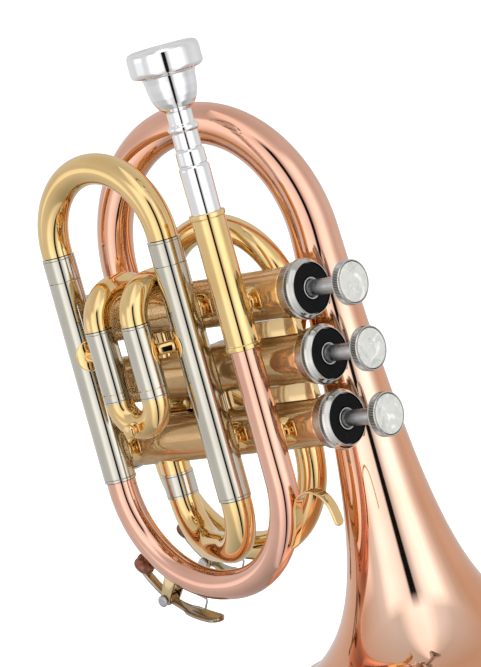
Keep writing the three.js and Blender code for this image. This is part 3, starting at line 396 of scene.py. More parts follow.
rim_radius, mouthpiece_length = 14.4, 89.1
mouthpiece_rim = (-131.3, lead_side, lead_height)
cup_shares = [
    (0.0, 0.86), (0.006, 0.95), (0.02, 0.99), (0.035, 1.0), (0.098, 1.0), (0.11, 0.965), (0.118, 0.88), (0.122, 0.735),
    (0.15, 0.70), (0.185, 0.68), (0.22, 0.64), (0.247, 0.575), (0.268, 0.48), (0.281, 0.38), (0.288, 0.345),
    (0.345, 0.342), (0.354, 0.425), (0.363, 0.437), (0.372, 0.425), (0.381, 0.36), (0.452, 0.366), (0.456, 0.345),
    (0.460, 0.366), (0.466, 0.395), (0.524, 0.40), (0.529, 0.375), (0.534, 0.40), (0.543, 0.424), (0.741, 0.413),
    (1.0, 0.34),
]
bore_shares = [
    (1.0, 0.29), (0.62, 0.21), (0.29, 0.132), (0.25, 0.153), (0.2, 0.31), (0.14, 0.46), (0.08, 0.55), (0.03, 0.59),
    (0.01, 0.66), (0.0, 0.86),
]
mouthpiece_profile = [(r * rim_radius, d * mouthpiece_length) for d, r in cup_shares + bore_shares]
lathed("silver_mouthpiece", eased(mouthpiece_profile, 0.4, 5), mouthpiece_rim, FORWARD, silver_plate, "mouthpiece",
       "mouthpiece", around=96, crease=50)

# ---- Receiver ----
# A brass socket turned from tube, with a raised ring at each end, that grips the mouthpiece's shank and is soldered
# over the leadpipe.
receiver_rear, receiver_length, receiver_radius, receiver_bore = -65.2, 55.2, 6.7, 6.1
ring_radius, ring_length = 7.2, 2.1
ring_back = receiver_length - ring_length
receiver = eased([
    (receiver_bore, 0), (ring_radius, 0), (ring_radius, ring_length), (receiver_radius, ring_length),
    (receiver_radius, ring_back), (ring_radius, ring_back), (ring_radius, receiver_length),
    (receiver_bore, receiver_length),
], 0.5)
lathed("receiver_socket", np.concatenate([receiver, receiver[:1]]), (receiver_rear, lead_side, lead_height),
       FORWARD, yellow_brass, "horn", "mouthpiece_receiver")

# ---- Tuning slide ----
# Two nickel silver sleeves are soldered beside the valves. The slide's two inner legs run in them, each with a long
# ferrule, and a brass half round joins the legs behind.
high_sleeve_height, high_sleeve_front, sleeves_rear = 18.9, 49.0, -47.4
sleeve_radius, sleeve_bore, ferrule_bore, ferrule_length = 6.65, 6.05, 5.2, 10.0
crook_radius, crook_straight = 6.25, 1.3
crook_end = sleeves_rear - gap - ferrule_length
levels = ("high", "low")


def lined(start, end, radius, lines, depth=0.32, half=0.13):
    """A straight outside from start to end with a fine turned line, a notch of that depth, at each given place."""
    notches = [pair for line in lines for pair in
               ((radius, line - half), (radius - depth, line), (radius, line + half))]
    return [(radius, start), *notches, (radius, end)]


def sleeved(name, start, end, radius, bore, lines, origin, way, body, node):
    """A nickel silver sleeve or ferrule: its outside with turned lines, rounded ends, and the bore back again."""
    outside = [(bore, start), *lined(start, end, radius, lines), (bore, end)]
    profile = np.concatenate([eased(outside, 0.08, 3), [(bore, start)]])
    lathed(name, profile, origin, way, nickel_silver, body, node)


def half_round(high, low, along, straight, radius, bore):
    """A tube from one place straight on, half round, and back to the other."""
    high, low = np.asarray(high, float), np.asarray(low, float)
    bend = np.linalg.norm(high - low) / 2
    beyond = along * (straight + bend)
    line = centre_line([high, high + beyond, low + beyond, low], [bend, bend], step=3)
    return walled(*line, radius, bore, unit(np.cross(high - low, along)))


leg_inner, leg_outer, leg_rear, leg_front = 5.15, 5.75, sleeves_rear - 2, sleeves_rear + 61.7
leg = [(leg_inner, leg_rear), (leg_outer, leg_rear), (leg_outer, leg_front), (leg_inner, leg_front),
       (leg_inner, leg_rear)]
for level, height, front in zip(levels, (high_sleeve_height, low_sleeve_height), (high_sleeve_front, low_sleeve_front)):
    origin, node = (0, lead_side, height), f"tuning_slide_leg_{level}"
    sleeved(f"tuning_sleeve_{level}_tube", sleeves_rear, front, sleeve_radius, sleeve_bore, [front - 1.1], origin,
            FORWARD, "horn", f"tuning_sleeve_{level}")
    sleeved(f"tuning_ferrule_{level}", crook_end, sleeves_rear - gap, sleeve_radius, ferrule_bore, [crook_end + 1.0],
            origin, FORWARD, "tuning_slide", node)
    lathed(f"tuning_leg_{level}_tube", leg, origin, FORWARD, nickel_silver, "tuning_slide", node)

crook_start = crook_end - gap
crook_grid = half_round((crook_start, lead_side, high_sleeve_height), (crook_start, lead_side, low_sleeve_height),
                        -FORWARD, crook_straight, crook_radius, crook_radius - tube_wall)
fitted(surface("tuning_crook_tube", crook_grid, yellow_brass, looped=True), "tuning_slide", "tuning_slide_crook")

# ---- Entry crook ----
# A brass tube that leaves the upper sleeve, turns down round the front and comes back into the third valve. A nickel
# silver ferrule joins its end to the valve's stub.
valve_spacing, casing_radius = 26.4, 9.75
entry_height, entry_front, entry_start, entry_ferrule_rear = -30.0, 71.1, 50.6, 40.3
entry_bend, entry_radius, entry_sink = 20.5, 6.2, 6
entry_corners = np.array([(high_sleeve_front + gap, lead_side, high_sleeve_height),
                          (entry_front, lead_side, high_sleeve_height), (entry_front, 0, entry_height),
                          (valve_spacing + entry_sink, 0, entry_height)])
entry_across = unit(np.cross(entry_corners[2] - entry_corners[1], FORWARD))
tubed("entry_crook_tube", centre_line(entry_corners, [entry_bend, entry_bend], step=3), entry_radius,
      entry_radius - tube_wall, entry_across, yellow_brass, "horn", "entry_crook")
sleeved("entry_ferrule", entry_ferrule_rear, entry_start, sleeve_radius, 6.1,
        [entry_ferrule_rear + 1.0, entry_start - 1.0], (0, 0, entry_height), FORWARD, "horn", "entry_crook")

# ---- Bell ----
# Rose brass, hammered and spun over a mandrel: a narrow tail out of the first valve, a bow round to the left, then a
# long flare, with a wire rolled into its rim.
tail, bell_axis = np.array([0, 1.2, -31.6]), np.array([0, 31.0, 50.3])
tail_end, tail_radius, bow_front, bow_depth, bow_power = -27.5, 7.2, -42.3, 54.3, 1.4
rim_front, bell_rim_radius, beyond_rim, flare_power, bell_around = row_front, 57.5, 16.0, -0.71, 128
bead_inset, bead_radius, bead_depth = 1.4, 1.15, 0.8


def flare_radius(x):
    """The rim's radius times ((distance to a point beyond the rim) / (that point's distance)) to a small power."""
    return bell_rim_radius * ((rim_front - x + beyond_rim) / beyond_rim) ** flare_power


def bell_skin():
    """The bow is half an ellipse in the plane of tail and axis, its radius growing by a power of the turn; the flare
    follows its power law; the rim is a half round bead; the bore runs back one millimetre inside."""
    middle, half = (tail + bell_axis) / 2, (bell_axis - tail) / 2
    turn = np.linspace(0, math.pi, 72)[:, None]
    bow = middle - np.cos(turn) * half
    bow[:, :1] = bow_front - bow_depth * np.sin(turn)
    bow_ways = np.sin(turn) * half - bow_depth * np.cos(turn) * FORWARD
    bow_end = flare_radius(bow_front)
    bow_radii = tail_radius + (bow_end - tail_radius) * (turn[:, 0] / math.pi) ** bow_power
    x = rim_front + beyond_rim - np.geomspace(rim_front - bow_front + beyond_rim, beyond_rim + 1.6, 120)[1:]
    flare = bell_axis + x[:, None] * FORWARD
    places = np.concatenate([[tail + FORWARD * tail_end], bow, flare])
    ways = unit(np.concatenate([[-FORWARD], bow_ways, np.broadcast_to(FORWARD, flare.shape)]))
    radii = np.concatenate([[tail_radius], bow_radii, flare_radius(x)])
    across = unit(np.cross(half, FORWARD))
    outside, inside = (rings(places, ways, radii - thin, across, bell_around) for thin in (0, 1))
    bead = np.linspace(-0.5, 0.5, 9) * math.pi
    bead_radii = bell_rim_radius - bead_inset + bead_radius * np.cos(bead)
    bead_x = rim_front - bead_depth + bead_depth * np.sin(bead)
    rim, lip = (rings(bell_axis + x[:, None] * FORWARD, FORWARD, rim_radii, across, bell_around) for x, rim_radii in (
        (bead_x, bead_radii), (rim_front - np.array([0.3, 1.4]), bell_rim_radius - np.array([2.1, 2.3]))))
    return np.concatenate([outside, rim, lip, inside[::-1]])


def multiplied(tree, shade):
    """A metal's colour, darkened by a shade."""
    base = tree.nodes["Principled BSDF"].inputs["Base Color"]
    tree.links.new(mixed(tree, base.links[0].from_socket, shade), base)


def shaded_flanks(tree):
    """Painted shade by the angle to the eye: where the surface turns away from the eye the tint is darkened and
    reddened, and where it faces the eye it stays pale as a painted highlight; the bow above the flare keeps the tubes'
    deeper tint all round."""
    place = wire(tree, "ShaderNodeTexCoord").outputs["Object"]
    bow = remapped(tree, wire(tree, "ShaderNodeSeparateXYZ", {"Vector": place}).outputs["Z"], 0.13, 0.18)
    away = wire(tree, "ShaderNodeLayerWeight", {"Blend": 0.5}).outputs["Facing"]
    shade = ramp(tree, away, [(0.10, (1.0, 1.0, 1.0)), (0.30, (0.82, 0.58, 0.43))])
    multiplied(tree, mixed(tree, shade, (0.86, 0.70, 0.66, 1), bow, "MIX"))


# The bell's tint is paler than the tubes': a painted highlight where the bell faces the eye, with painted shade on its
# flanks.
bell_brass = metal("bell_brass", (0.98, 0.68, 0.53), (0.94, 0.62, 0.46), 0.045, 0.5)
shaded_flanks(bell_brass.node_tree)
fitted(surface("bell_flare", bell_skin(), bell_brass, looped=True, crease=60), "horn", "bell")

# ---- Valve casings ----
# Three brass tubes side by side, each bored for its piston, with a thin turned ring where the top cap screws on. Their
# lacquer is thicker and a little milky, so that they look paler. Short knuckles and flat spacers join them.
casing_brass = metal("casing_brass", (0.98, 0.72, 0.38), (0.94, 0.67, 0.33), 0.08, 0.4)
casing_brass.node_tree.nodes["Principled BSDF"].inputs["Metallic"].default_value = 0.75
casing_top, casing_bottom, casing_edge, casing_bore = 66.0, -54.7, 9.0, 8.9
valves = {1: FORWARD * -valve_spacing, 2: FORWARD * 0, 3: FORWARD * valve_spacing}
casing_outside = [(casing_edge, casing_bottom), *lined(casing_bottom, casing_top, casing_radius, [60.6, -49.6], 0.2),
                  (casing_edge, casing_top)]
casing_profile = np.concatenate([eased(casing_outside, 0.3), [(casing_bore, casing_top), (casing_bore, casing_bottom),
                                                              (casing_edge, casing_bottom)]])
for number, axis in valves.items():
    lathed(f"casing_tube_{number}", casing_profile, axis, UP, casing_brass, "horn", f"valve_casing_{number}")


def oblong(wide, p, high, q, around):
    """Across and up along a rounded oblong, |y / (wide / 2)|^p + |z / (high / 2)|^q = 1."""
    angle = np.linspace(0, 2 * math.pi, around, endpoint=False)
    y, z = np.cos(angle), np.sin(angle)
    return np.sign(y) * np.abs(y) ** (2 / p) * wide / 2, np.sign(z) * np.abs(z) ** (2 / q) * high / 2


# A spacer is a flat bar of oblong section, each end hollowed to lie along its casing: there its reach from the
# casing's axis is sqrt(radius^2 - y^2), with a hair's gap in the radius.
spacer_low, spacer_high, spacer_thick, spacer_radius = 28.0, 59.0, 4.4, casing_radius + 0.35
y, z = oblong(spacer_thick, 8, spacer_high - spacer_low, 16, 64)
reach = np.sqrt(spacer_radius ** 2 - y ** 2)
share = np.array([0, 0, 0.04, 0.5, 0.96, 1, 1])[:, None]
fill = np.array([0, 1, 0.97, 0.94, 0.97, 1, 0])[:, None]
run = reach * (1 - share) + (valve_spacing - reach) * share
run[[0, -1]] = [[spacer_radius], [valve_spacing - spacer_radius]]
spacer = np.stack([run, y * fill, (spacer_low + spacer_high) / 2 + z * np.minimum(fill * 1.06, 1)], -1)

# A knuckle is a short tube that swells where it is soldered at both ends: waist + (radius - waist) |2s - 1| cubed.
second_high, second_low, knuckle_sink = 5.4, -13.7, 1.9
knuckle_radius, knuckle_waist, knuckle_bore = 5.6, 5.2, 4.5
knuckle_length = valve_spacing - 2 * (casing_radius - knuckle_sink)
share = np.linspace(0, 1, 25)
swell = knuckle_waist + (knuckle_radius - knuckle_waist) * np.abs(2 * share - 1) ** 3
knuckle = [*zip(swell, share * knuckle_length), (knuckle_bore, knuckle_length), (knuckle_bore, 0), (swell[0], 0)]
for label, x, height in (("1_2", -valve_spacing, second_low), ("2_3", 0.0, second_high)):
    lathed(f"knuckle_{label}_tube", knuckle, (x + casing_radius - knuckle_sink, 0, height), FORWARD, yellow_brass,
           "horn", f"knuckle_{label}")
    fitted(surface(f"spacer_{label}_bar", spacer + x * FORWARD, casing_brass, crease=50), "horn",
           f"casing_spacer_{label}", slot="nickel_silver")

# ---- Valve caps ----
# Nickel silver caps that screw on the casings. The top cap has a fine knurled edge, a bright sloping rim, a black
# felt ring sunk in it, and a collar round the stem; its plain skirt is coloured a darker brown. The bottom cap has a
# knurled skirt and a small round nub.
nickel_plate = metal("nickel_plate", (0.66, 0.65, 0.62), (0.57, 0.56, 0.53), 0.07, 0.0)
brown_nickel = metal("brown_nickel", (0.48, 0.39, 0.31), (0.36, 0.27, 0.20), 0.25, 0.0)


def shaded_grooves(tree):
    """Between the ribs of a knurl, where the attribute groove nears one, the metal's colour is darkened: painted shade
    in the grooves.
    """
    depth = wire(tree, "ShaderNodeAttribute", attribute_name="groove").outputs["Fac"]
    multiplied(tree, ramp(tree, depth, [(0.1, 1.0), (0.9, 0.08)]))


def felt(name):
    """Pressed wool: fine fibres from a distorted noise move both the dark colour and the height of the surface."""
    made, tree, shader, place = blank(name)
    fibres = noise(tree, place, 2600.0, 4.0, Distortion=1.2)
    fed(shader, {"Base Color": ramp(tree, fibres, [(0.35, 0.004), (0.75, 0.02)]), "Roughness": 0.95,
                 "Normal": lifted(tree, fibres, 0.6, 0.0002), "Specular IOR Level": 0.1})
    return made


# Painted shade: the nickel plate's colour is darkened down in the grooves of every knurl.
shaded_grooves(nickel_plate.node_tree)
black_felt = felt("black_felt")


def banded(profile, low, high, step):
    """Adds heights to a profile's straight sides between low and high, so that a knurl has rings to bend."""
    profile = np.asarray(profile, float)
    out = [profile[:1]]
    for a, b in zip(profile, profile[1:]):
        inside = min(a[1], b[1]) < high and max(a[1], b[1]) > low and abs(a[0] - b[0]) < 0.5
        count = max(1, int(abs(b[1] - a[1]) / step)) if inside else 1
        out.append(a + (b - a) * np.linspace(0, 1, count + 1)[1:, None])
    return np.concatenate(out)


rib_points, rib_fade = 6, 0.25


def ribbed(name, profile, axis, body, node, band, ribs, depth, outer, shaded_heights, shade_depth):
    """A nickel piece turned about a valve's axis, its rings in a band of heights ribbed by radius - depth
    (1 - cos(ribs a)) / 2, faded in over the band's ends. Between the two shaded heights the attribute groove is
    (outer - distance from the axis) / shade_depth, and there it marks painted shade in the grooves."""
    profile = held(profile)
    angle = np.linspace(0, 2 * math.pi, ribs * rib_points, endpoint=False)
    fade = np.prod([np.clip(side / rib_fade, 0, 1) for side in (profile[:, 1] - band[0], band[1] - profile[:, 1])], 0)
    radii = profile[:, :1] - fade[:, None] * (depth * (1 - np.cos(ribs * angle)) / 2)
    made = surface(name, rings(axis + profile[:, 1:] * UP, UP, radii, FORWARD, len(angle)), nickel_plate, crease=50)
    up, left, down = np.array([vertex.co for vertex in made.data.vertices]).T * 1000
    share = (outer - np.hypot(row_front - down - axis[0], left + row_left)) / shade_depth
    share[(up + row_up < shaded_heights[0]) | (up + row_up > shaded_heights[1])] = 0
    groove = made.data.attributes.new("groove", "FLOAT", "POINT")
    groove.data.foreach_set("value", np.clip(share, 0, 1).astype(np.float32))
    fitted(made, body, node)


top_cap = [(3.5, 66.4), (11.3, 66.4), (11.95, 66.7), (12.0, 66.9), (12.0, 68.3), (11.9, 68.6), (11.55, 69.3),
           (11.0, 70.1), (10.6, 70.75), (10.4, 71.0), (10.2, 71.0), (10.15, 70.8), (10.15, 69.4), (4.4, 69.4),
           (4.4, 70.75), (4.25, 71.0), (3.95, 71.0), (3.75, 70.7), (3.5, 70.6), (3.5, 66.4)]
cap_skirt = [(10.1, 66.3), (10.1, 62.3), (10.9, 62.3), (11.1, 62.6), (11.15, 66.3), (10.1, 66.3)]
cap_ring = [(4.7, 69.7), (9.85, 69.7), (9.85, 70.55), (9.6, 70.7), (5.0, 70.7), (4.7, 70.55), (4.7, 69.7)]
bottom_cap = [(0, -64.7), (4.5, -64.7), (4.5, -62.2), (8.9, -62.2), (10.9, -59.7), (10.9, -51.2), (10.05, -51.2),
              (10.05, -55.0), (8.9, -55.0), (8.9, -56.5), (0, -56.5)]
for number, axis in valves.items():
    ribbed(f"top_cap_{number}_turned", banded(eased(top_cap, 0.12, 3), 66.9, 68.3, 0.2), axis, "horn",
           f"top_cap_{number}", band=(66.75, 68.55), ribs=112, depth=0.45, outer=12.0, shaded_heights=(66.9, 68.35), shade_depth=0.45)
    lathed(f"top_cap_{number}_skirt", eased(cap_skirt, 0.1, 3), axis, UP, brown_nickel, "horn", f"top_cap_{number}")
    lathed(f"cap_felt_{number}_ring", eased(cap_ring, 0.1, 3), axis, UP, black_felt, "horn", f"cap_felt_{number}")
    ribbed(f"bottom_cap_{number}_turned", banded(eased(bottom_cap, 0.25, 3), -59.5, -51.5, 0.3), axis, "horn",
           f"bottom_cap_{number}", band=(-58.6, -53.0), ribs=96, depth=0.32, outer=10.9, shaded_heights=(-58.3, -53.3),
           shade_depth=0.4)

# ---- Valve stems, buttons and pearls ----
# A plain steel stem screws into each piston and carries a nickel silver button with a finely ribbed edge. A disc of
# mother of pearl is set into the button's face.
stem_steel = metal("stem_steel", (0.60, 0.60, 0.62), (0.50, 0.50, 0.53), 0.36, 0.0, draw=0.9)


def pearl(name):
    """Shell: a distorted noise makes cloudy swirls of warm and cool white, and thin growth lines of a wave lie over
    them; the surface is smooth under a clear polish."""
    made, tree, shader, place = blank(name)
    swirl = noise(tree, place, 110.0, 4.0, Distortion=2.0)
    clouds = ramp(tree, swirl, [(0.34, (0.52, 0.53, 0.50)), (0.48, (0.70, 0.70, 0.66)), (0.56, (0.62, 0.62, 0.59)),
                                (0.66, (0.88, 0.88, 0.84))])
    growth = wire(tree, "ShaderNodeTexWave", {"Vector": place, "Scale": 120.0, "Distortion": 9.0, "Detail": 3.0})
    lines = ramp(tree, growth.outputs["Fac"], [(0.2, (0.86, 0.88, 0.88)), (0.8, (1.0, 1.0, 0.98))])
    fed(shader, {"Base Color": mixed(tree, clouds, lines, 0.5), "Roughness": remapped(tree, swirl, 0.0, 1.0, 0.12, 0.4),
                 "Coat Weight": 0.5, "Coat Roughness": 0.05})
    return made


mother_of_pearl = pearl("mother_of_pearl")
stem = [(0, 40.3), (3.2, 40.3), (3.2, 88.0), (0, 88.0)]
button = [(0, 87.9), (7.1, 87.9), (8.75, 89.5), (8.75, 92.7), (8.45, 93.1), (8.15, 92.95), (8.15, 91.6), (0, 91.6)]
pearl_disc = [(0, 91.9), (7.85, 91.9), (7.85, 92.95), (7.5, 93.25), (4.0, 93.45), (0, 93.5)]
for number, axis in valves.items():
    body, node = f"valve_{number}", f"finger_button_{number}"
    lathed(f"stem_{number}", eased(stem, 0.2, 3), axis, UP, stem_steel, body, node, around=48)
    ribbed(f"button_rim_{number}", banded(eased(button, 0.12, 4), 89.6, 92.7, 0.2), axis, body, node,
           band=(89.6, 92.5), ribs=84, depth=0.4, outer=8.75, shaded_heights=(89.8, 92.4), shade_depth=0.4)
    lathed(f"pearl_{number}", eased(pearl_disc, 0.3, 4), axis, UP, mother_of_pearl, body, f"button_pearl_{number}")

# ---- First valve slide ----
# Two brass bows come out of the first valve into nickel silver sleeves in front of the tuning slide. The slide's
# brass crook pulls forward out of them and has a turned knob at its end.
first_side, first_high, first_low = -34.0, 5.6, -15.0
first_rear, first_front, first_radius, first_tube = -28.0, -2.5, 5.85, 5.6
bow_bend, bow_side = 13.0, -4
bow_start = first_rear - gap
for level, height in zip(levels, (first_high, first_low)):
    bow = centre_line([(bow_start, first_side, height), (bow_start - bow_bend, first_side, height),
                       (bow_start - bow_bend, bow_side, height), (-valve_spacing, bow_side, height)],
                      [bow_bend, bow_bend], step=3)
    tubed(f"first_bow_{level}", bow, first_tube, first_tube - tube_wall, UP, yellow_brass, "horn",
          f"first_slide_bow_{level}")
    sleeved(f"first_sleeve_{level}_tube", first_rear, first_front, first_radius, 5.35, [first_rear + 1.0],
            (0, first_side, height), FORWARD, "horn", f"first_slide_sleeve_{level}")


def slide_crook(label, parts, high, low, along, leg, ferrule, line, inner, outer, ring):
    """A slide's brass crook as two skins: the tube that runs a leg deep in both sleeves, and the wider half round
    beyond the ferrules that stop against them. Radius and bore are given for each; returns the crown of the bend."""
    high, low = np.array(high, float), np.array(low, float)
    body, node = f"{label}_slide", f"{label}_slide_crook"
    for part, start, (radius, bore) in zip(parts, (-leg, ferrule), (inner, outer)):
        grid = half_round(high + start * along, low + start * along, along, ferrule - start + gap, radius, bore)
        fitted(surface(f"{label}_{part}", grid, yellow_brass, looped=True), body, node)
    for level, start in zip(levels, (high, low)):
        sleeved(f"{label}_ferrule_{level}", 0, ferrule, *ring, [line], start, along, body, node)
    return (high + low) / 2 + along * (ferrule + gap + np.linalg.norm(high - low) / 2)


knob = eased([(0, 0), (2.9, 0), (2.9, 1.0), (1.5, 1.3), (1.4, 2.3), (2.5, 2.6), (2.9, 3.3), (2.9, 4.1), (2.3, 4.8),
              (0, 5.0)], 0.2, 4)
knobbed_parts, first_knob_reach = ("crook_tube", "half_round"), 4.98
first_crown = slide_crook("first", knobbed_parts, (first_front + gap, first_side, first_high),
                          (first_front + gap, first_side, first_low), FORWARD, leg=20.0, ferrule=3.8, line=2.9,
                          inner=(5.05, 4.45), outer=(first_tube, 4.5), ring=(first_radius, 5.0))
lathed("first_knob", knob, first_crown - first_knob_reach * LEFT, -LEFT, yellow_brass, "first_slide",
       "first_slide_crook", around=48)

# ---- Second valve slide ----
# Two short nickel silver sleeves straight out of the middle valve, and a small brass crook with ferrules and a turned
# knob, which pulls out of them to the left.
second_rear, second_end, second_radius, second_knob_reach = 8.0, 26.0, 5.7, 4.8
for level, height in zip(levels, (second_high, second_low)):
    sleeved(f"second_sleeve_{level}_tube", second_rear, second_end, second_radius, 5.1, [second_end - 1.0],
            (0, 0, height), LEFT, "horn", f"second_slide_sleeve_{level}")
second_crown = slide_crook("second", knobbed_parts, (0, second_end + gap, second_high),
                           (0, second_end + gap, second_low), LEFT, leg=12.0, ferrule=3.0, line=0.8,
                           inner=(4.8, 4.2), outer=(5.4, 4.3), ring=(second_radius, 4.8))
lathed("second_knob", knob, second_crown + second_knob_reach * LEFT, LEFT, yellow_brass, "second_slide",
       "second_slide_crook", around=48)

# ---- Third valve loop ----
# Brass tubes from the third valve: one runs round the rear in a big arc and forward into the upper sleeve, one drops
# into the lower sleeve. The sleeves are nickel silver, and the front crook pulls out of them.
third_side, third_high, third_low = 17.6, 28.9, -51.6
third_front, third_radius, third_crook = 36.3, 6.2, 6.0
third_across = unit([0.5, 0.75, 0.43])
coil_line = centre_line([
    (valve_spacing, 6.0, second_high), (valve_spacing, 20.5, second_high), (6.0, 20.5, -26.5), (-10.0, 16.0, -26.5),
    (-54.2, 16.0, -26.5), (-54.2, 16.0, 42.8), (-16.0, 16.0, 42.8), (9.6, third_side, third_high),
    (13.2, third_side, third_high),
], [7, 7, 12, 34.65, 34.65, 12, 12], step=3)
riser_line = centre_line([
    (valve_spacing - 8.4, 5.4, second_low), (13.2, 8.4, second_low), (13.2, 8.4, -37.0),
    (18.0, third_side, third_low), (25.2, third_side, third_low),
], [5.6, 7, 7], step=5)
for part, line, radius, rear, height in (("coil", coil_line, 5.4, 12.6, third_high),
                                         ("riser", riser_line, 5.2, 24.6, third_low)):
    tubed(f"third_{part}_tube", line, radius, radius - tube_wall, third_across, yellow_brass, "horn",
          f"third_slide_{part}")
    sleeved(f"third_{part}_sleeve", rear, third_front, third_radius, 5.65, [rear + 1.1, third_front - 1.1],
            (0, third_side, height), FORWARD, "horn", f"third_slide_{part}")
third_crown = slide_crook("third", ("leg_tube", "crook_tube"), (third_front + gap, third_side, third_high),
                          (third_front + gap, third_side, third_low), FORWARD, leg=10.5, ferrule=2.0, line=1.0,
                          inner=(5.35, 4.75), outer=(third_crook, 4.8), ring=(third_radius, 5.3))

# ---- Braces ----
# Short turned posts with round flanges that are bent to the tube and soft soldered on. They hold the loops to the
# casings and to each other.
post_radius, fillet, flange_radius, post_gap = 2.4, 0.4, 6.2, 0.2


def flange(at, out, axis, tube_radius, radius, rise=0.5):
    """A disc bent round a tube: a place on it, run along the tube and wide across it, is moved to the angle
    wide / (tube + rise) round the tube; its edge is rounded down and its underside follows the tube."""
    at, out, axis = (np.asarray(v, float) for v in (at, out, axis))
    share = np.array([0.0, 0.35, 0.7, 0.9, 0.965, 1.0, 1.0, 0.7, 0.0])[:, None]
    lift = np.array([1.0, 1.0, 1.0, 1.0, 0.9, 0.6, -0.4, -0.4, -0.4])[:, None] * rise
    angle = np.linspace(0, 2 * math.pi, 64, endpoint=False)
    run = radius * share * np.cos(angle)
    bent = radius * share * np.sin(angle) / (tube_radius + rise)
    sideways, outwards = (tube_radius + lift) * np.sin(bent), (tube_radius + lift) * np.cos(bent)
    return at + run[..., None] * axis + sideways[..., None] * np.cross(out, axis) + outwards[..., None] * out


def brace(name, near, far, node):
    """A round post with a fillet of solder at each foot, radius + fillet e^(-run / fillet), and a flange where it
    meets each tube."""
    (a, a_radius, _), (b, b_radius, _) = near, far
    a, b = np.asarray(a, float), np.asarray(b, float)
    way = unit(b - a)
    start, end = a_radius + post_gap, np.linalg.norm(b - a) - b_radius - post_gap
    run = np.linspace(0, 1, 21) * (end - start)
    swell = post_radius + fillet * np.exp(-run / fillet) + fillet * np.exp((run - run[-1]) / fillet)
    post = np.concatenate([[(0, start)], np.stack([swell, start + run], -1), [(0, end)]])
    lathed(f"{name}_post", post, a, way, yellow_brass, "horn", node, around=40)
    for tag, out, (at, tube_radius, axis) in (("near", way, near), ("far", -way, far)):
        fitted(surface(f"{name}_{tag}_flange", flange(at, out, axis, tube_radius, flange_radius), yellow_brass),
               "horn", node)


def casing_brace(name, x, height, radius, node):
    """A brace from a tube on the leadpipe's side straight to a casing."""
    brace(name, ((x, lead_side, height), radius, FORWARD), ((x, 0, height), casing_radius, UP), node)


casing_brace("receiver_brace", -valve_spacing, lead_height, receiver_radius, "mouthpiece_receiver")
casing_brace("leadpipe_brace", valve_spacing, lead_height, bend_radius, "leadpipe")
first_brace_place, bell_brace_height, bell_brace_radius = -16.2, 51.0, flare_radius(6.2) - 0.4
for level, height, first_height in (("high", high_sleeve_height, first_high), ("low", low_sleeve_height, first_low)):
    casing_brace(f"{level}_rear_brace", -valve_spacing, height, sleeve_radius, f"tuning_sleeve_{level}")
    casing_brace(f"{level}_front_brace", valve_spacing, height, sleeve_radius, f"tuning_sleeve_{level}")
    brace(f"first_{level}_brace", ((first_brace_place, first_side, first_height), first_radius, FORWARD),
          ((first_brace_place, lead_side, height), sleeve_radius, FORWARD), f"first_slide_sleeve_{level}")
brace("bell_brace", ((0, bell_axis[1], bell_brace_height), bell_brace_radius, FORWARD),
      ((0, 0, bell_brace_height), casing_radius, UP), "bell_brace")

# ---- Finger hook ----
# A strip of brass with rounded edges, laid along the outside of the front bend, curled up for the little finger and
# soldered on.
hook_width, hook_thickness = 5.2, 1.3


def hook_line():
    """A smooth curve through the hook's places: between two of them it follows the Catmull-Rom cubic. Its first
    three places lie on the bend's outside, at height sqrt(reach^2 - x^2) over the bend's centre."""
    reach = high_bend + bend_radius + gap + hook_thickness / 2
    feet = [(front_reach - high_bend + x, lead_height - high_bend + math.sqrt(reach ** 2 - x ** 2))
            for x in (28.7, 20.35, 12.0)]
    knots = np.array(feet + [(50.6, 54.5), (48.8, 60.7), (51.1, 66.3), (56.0, 69.5), (63.8, 71.0)])
    padded = np.concatenate([[2 * knots[0] - knots[1]], knots, [2 * knots[-1] - knots[-2]]])
    t = np.linspace(0, 1, 14, endpoint=False)[:, None]
    spans = [0.5 * (2 * b + (c - a) * t + (2 * a - 5 * b + 4 * c - d) * t ** 2 + (3 * b - a - 3 * c + d) * t ** 3)
             for a, b, c, d in zip(padded, padded[1:], padded[2:], padded[3:])]
    flat = np.concatenate(spans + [knots[-1:]])
    return np.stack([flat[:, 0], np.full(len(flat), lead_side), flat[:, 1]], -1)


def strip_skin(line, width, thickness, tip=2.2):
    """A strip of oblong section, |y/w|^4 + |z/h|^2.5 = 1, along a line; both ends are drawn in along a quarter
    circle."""
    run = np.concatenate([[0], np.cumsum(np.linalg.norm(np.diff(line, axis=0), axis=1))])
    from_end = np.minimum(run, run[-1] - run)
    draw = np.sqrt(np.clip(1 - (1 - np.clip(from_end / tip, 0, 1)) ** 2, 0, 1))[:, None]
    y, z = oblong(width, 4, thickness, 2.5, 40)
    normal = np.cross(unit(np.gradient(line, axis=0)), LEFT)
    thin = 0.4 + 0.6 * draw
    thin[[0, -1]] = 0
    return line[:, None] + (draw * y)[..., None] * LEFT + (thin * z)[..., None] * normal[:, None]


fitted(surface("little_finger_hook", strip_skin(hook_line(), hook_width, hook_thickness), yellow_brass, crease=60),
       "horn", "finger_hook")

# ---- Water keys ----
# Each is a nickel silver lever on a screw between two ears. A bent steel wire holds its cork on the nipple, and the
# thumb presses its rounded paddle.
ear_brass = metal("ear_brass", (0.76, 0.62, 0.38), (0.66, 0.50, 0.28), 0.12, 0.2)
# Painted shade and reflection: a darker, browner nickel for the lever, cup and barrel, standing for their shadowed
# faces and the brass they mirror.
shade_painted_nickel = metal("shade_painted_nickel", (0.50, 0.44, 0.34), (0.36, 0.29, 0.20), 0.12, 0.1)


